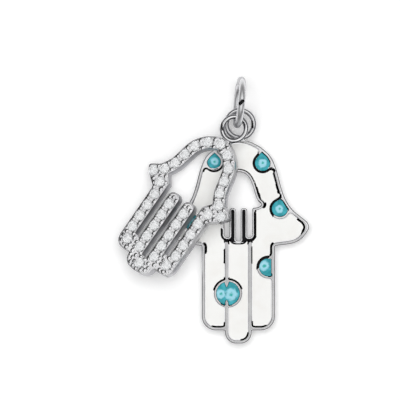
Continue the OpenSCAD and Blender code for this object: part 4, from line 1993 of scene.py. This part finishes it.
@dataclass
class Brilliant:
    """A round brilliant of 57 flat facets. Heights and radii are shares of its diameter."""

    diameter: float
    girdle_r: float = 0.5
    girdle_t: float = 0.03
    table_r: float = 0.28
    table_z: float = 0.15
    star_r: float = 0.39
    lower_r: float = 0.11
    pavilion: float = 0.43
    mains: int = 8

    def ring(self, radius: float, height: float, offset: float, count: int) -> Array:
        """Points round the stone's axis."""
        angle = (np.arange(count) + offset) * math.tau / count
        return np.stack([radius * np.cos(angle), radius * np.sin(angle), np.full(count, height)], axis=1)

    def points(self) -> Array:
        """Works out the corners of the facets.

        Returns:
            Corners of the table, the stars, both edges of the girdle, the lower halves and the culet.
        """
        n = self.mains
        # A kite is flat when its side corners lie on the plane through its two ends
        half = math.cos(math.pi / n)
        star_z = self.table_z * (self.girdle_r - self.star_r * half) / (self.girdle_r - self.table_r)
        lower_z = -self.girdle_t - self.pavilion * (self.girdle_r - self.lower_r * half) / self.girdle_r
        rings = [
            self.ring(self.table_r, self.table_z, 0.0, n),
            self.ring(self.star_r, star_z, 0.5, n),
            self.ring(self.girdle_r, 0.0, 0.0, 2 * n),
            self.ring(self.girdle_r, -self.girdle_t, 0.0, 2 * n),
            self.ring(self.lower_r, lower_z, 0.5, n),
            np.array([[0, 0, -self.girdle_t - self.pavilion]]),
        ]
        return np.concatenate(rings) * self.diameter

    def skin(self) -> Skin:
        """Builds the facets.

        Returns:
            The closed mesh.
        """
        n = self.mains
        table, star, upper, lower, below, culet = 0, n, 2 * n, 4 * n, 6 * n, 7 * n
        faces: list[tuple[int, ...]] = [tuple(range(table, table + n))]
        for k in range(n):
            after, before = (k + 1) % n, (k - 1) % n
            u0, u1, u2 = (upper + (2 * k + i) % (2 * n) for i in range(3))
            l0, l1, l2 = (lower + (2 * k + i) % (2 * n) for i in range(3))
            faces += [
                (table + k, star + k, table + after),
                (table + k, star + before, u0, star + k),
                (star + k, u0, u1),
                (star + k, u1, u2),
                (u0, l0, l1, u1),
                (u1, l1, l2, u2),
                (l0, below + k, l1),
                (l1, below + k, l2),
                (l0, below + before, culet, below + k),
            ]
        return Skin(self.points(), faces)


@dataclass
class JumpRing:
    """The ring that holds both hands."""

    # Place: its middle, its turn seen from above and its lean from upright, in degrees
    centre: Spot = (0.09, 13.7773, 2.4897)
    turn: float = 5.6
    lean: float = 5.6

    # Wire, and its sides, where the upward part of the normal is less than this
    major: float = 2.15
    wire: float = 0.35
    sections: int = 160
    sides: int = 48
    sideways: float = 0.4

    # Painted dark reflection on the wire
    mark: Mark = Mark((0.16, 13.64), (0.4, 13.88), 0.17)

    def is_wire_side(self, middles: Array, normals: Array) -> Array:
        """Chooses the sides of the wire, wherever their middles lie."""
        return is_side(normals, self.sideways)

    def build(self, silver: Material, side: Material, black: Material) -> list[Piece]:
        """Models and dresses the ring.

        Args:
            silver: Finish of the wire.
            side: Painted shade on its sides.
            black: Painted dark reflection on its wire.

        Returns:
            The ring alone, as a list.
        """
        turn = Matrix.Rotation(-math.radians(self.turn), 4, "Z")
        upright = Matrix.Rotation(math.radians(90 + self.lean), 4, "Y")
        place = Matrix.Translation(self.centre) @ (turn @ upright)
        skin = wire_ring(self.major, self.wire, self.sections, self.sides).placed(place)
        ring = dressed(skin.object("jump_ring_wire"), silver, Slot.SILVER, "jump_ring")
        # painted shade on the wire's sides, and a painted dark reflection on its wire
        refinish(ring, side, self.is_wire_side)
        refinish(ring, black, self.mark.covers)
        return [ring]


# Table, light and camera


@dataclass
class Studio:
    """The pale table, the soft light and the camera straight above.

    Edges and blurs in the sky are heights on a sphere of radius 1, for the patch measured along its
    own way. Lights are strengths.
    """

    # Table, in metres
    table_r: float = 3.0
    table_drop: float = 0.00002
    table_sides: int = 96

    # White tent over a dark horizon, whose edge sways to one side
    tent_light: float = 1.2
    tent_edge: float = 0.72
    tent_sway: float = 0.03
    tent_sway_way: Place = (-0.75, -0.55)
    tent_blur: float = 0.03
    dark: float = 0.04

    # Greyer opening overhead, and a greyer patch that the stone hand mirrors
    hole_light: float = 0.62
    hole_edge: float = 0.965
    hole_blur: float = 0.012
    patch_way: Spot = (-0.470, 0.323, 0.821)
    patch_light: float = 0.92
    patch_edge: float = 0.968
    patch_blur: float = 0.012

    # Lamp
    lamp_strength: float = 1.4
    lamp_way: Spot = (-0.08, 0.2, 0.96)
    lamp_spread: float = 50.0

    # Camera, with its distance in metres
    view_middle: Place = (-3.70, 4.37)
    view_w: float = 38.63
    distance: float = 1.0
    sensor: float = 36.0
    clip_end: float = 100.0

    def table(self) -> None:
        """Lays the table."""
        rim = around((0, 0), self.table_r / MM, self.table_sides)
        points = np.column_stack([rim, np.full(len(rim), -self.table_drop / MM)])
        table = Skin(points, [tuple(range(len(rim)))]).object("table", None)
        table.data.materials.append(PaleTable().make())

    def sky(self) -> None:
        """Hangs a white tent overhead, with dark gaps near the horizon."""
        world = bpy.context.scene.world or bpy.data.worlds.new("studio")
        bpy.context.scene.world = world
        world.use_nodes = True
        g = Graph(world.node_tree)
        way = g.node("ShaderNodeTexCoord").of("Generated")
        x = g.node("ShaderNodeSeparateXYZ", None, {0: way})
        y, z = x.of("Y"), x.of("Z")
        side = self.tent_sway_way[0] * x + self.tent_sway_way[1] * y
        edge = self.tent_edge + self.tent_sway * side
        tent = z.step(edge - self.tent_blur, edge + self.tent_blur)
        hole = z.step(self.hole_edge - self.hole_blur, self.hole_edge + self.hole_blur)
        aside = g.vector("DOT_PRODUCT", way, self.patch_way).of("Value")
        patch = aside.step(self.patch_edge - self.patch_blur, self.patch_edge + self.patch_blur)
        level = self.dark + (self.tent_light - self.dark) * tent
        level = level + (self.hole_light - self.tent_light) * hole
        level = level + (self.patch_light - self.tent_light) * patch
        # The camera itself sees plain white past the table
        shown = g.node("ShaderNodeLightPath").of("Is Camera Ray")
        level = level * (1 - shown) + shown
        g.surface(g.node("ShaderNodeBackground", None, {"Color": grey(1.0), "Strength": level}))

    def lamp(self) -> None:
        """Hangs a broad lamp behind the tent, for the soft shadows."""
        light = bpy.data.lights.new("lamp", "SUN")
        light.energy = self.lamp_strength
        light.angle = math.radians(self.lamp_spread)
        holder = bpy.data.objects.new("lamp", light)
        holder.rotation_euler = Vector(self.lamp_way).to_track_quat("Z", "Y").to_euler()
        holder.visible_glossy = False
        holder.visible_transmission = False
        bpy.context.scene.collection.objects.link(holder)

    def camera(self) -> None:
        """Hangs the camera straight above the pendant."""
        camera = bpy.data.cameras.new("camera")
        camera.sensor_width = self.sensor
        camera.lens = self.sensor * self.distance / (self.view_w * MM)
        camera.clip_end = self.clip_end
        holder = bpy.data.objects.new("camera", camera)
        holder.location = (self.view_middle[0] * MM, self.view_middle[1] * MM, self.distance)
        bpy.context.scene.collection.objects.link(holder)
        bpy.context.scene.camera = holder

    def build(self) -> None:
        """Sets the whole studio up."""
        self.camera()
        self.table()
        self.sky()
        self.lamp()
        view = bpy.context.scene.view_settings
        view.view_transform = "Standard"
        view.look = "None"
        view.exposure = 0.0


def main() -> None:
    """Builds the pendant and its studio."""
    logging.basicConfig(level=logging.INFO, format="%(message)s")
    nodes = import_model()["nodes"]
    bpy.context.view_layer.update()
    Studio().build()
    silver, white, clear = PolishedSilver().make(), WhiteEnamel().make(), ClearStone().make()
    black, shaded, side = DARK_REFLECTION_SILVER.make(), SHADED_SILVER.make(), SHADED_SIDE_SILVER.make()
    bright, drawn, satin = CUT_SILVER.make(), DRAWN_SILVER.make(), SATIN_SILVER.make()
    pieces = EnamelledHand(nodes).build(silver, satin, shaded, black, white)
    pieces += StoneHand(nodes).build(bright, side, shaded, black, clear)
    pieces += JumpRing().build(drawn, side, black)
    LOG.info("%d pieces", len(pieces))


if __name__ == "__main__":
    main()
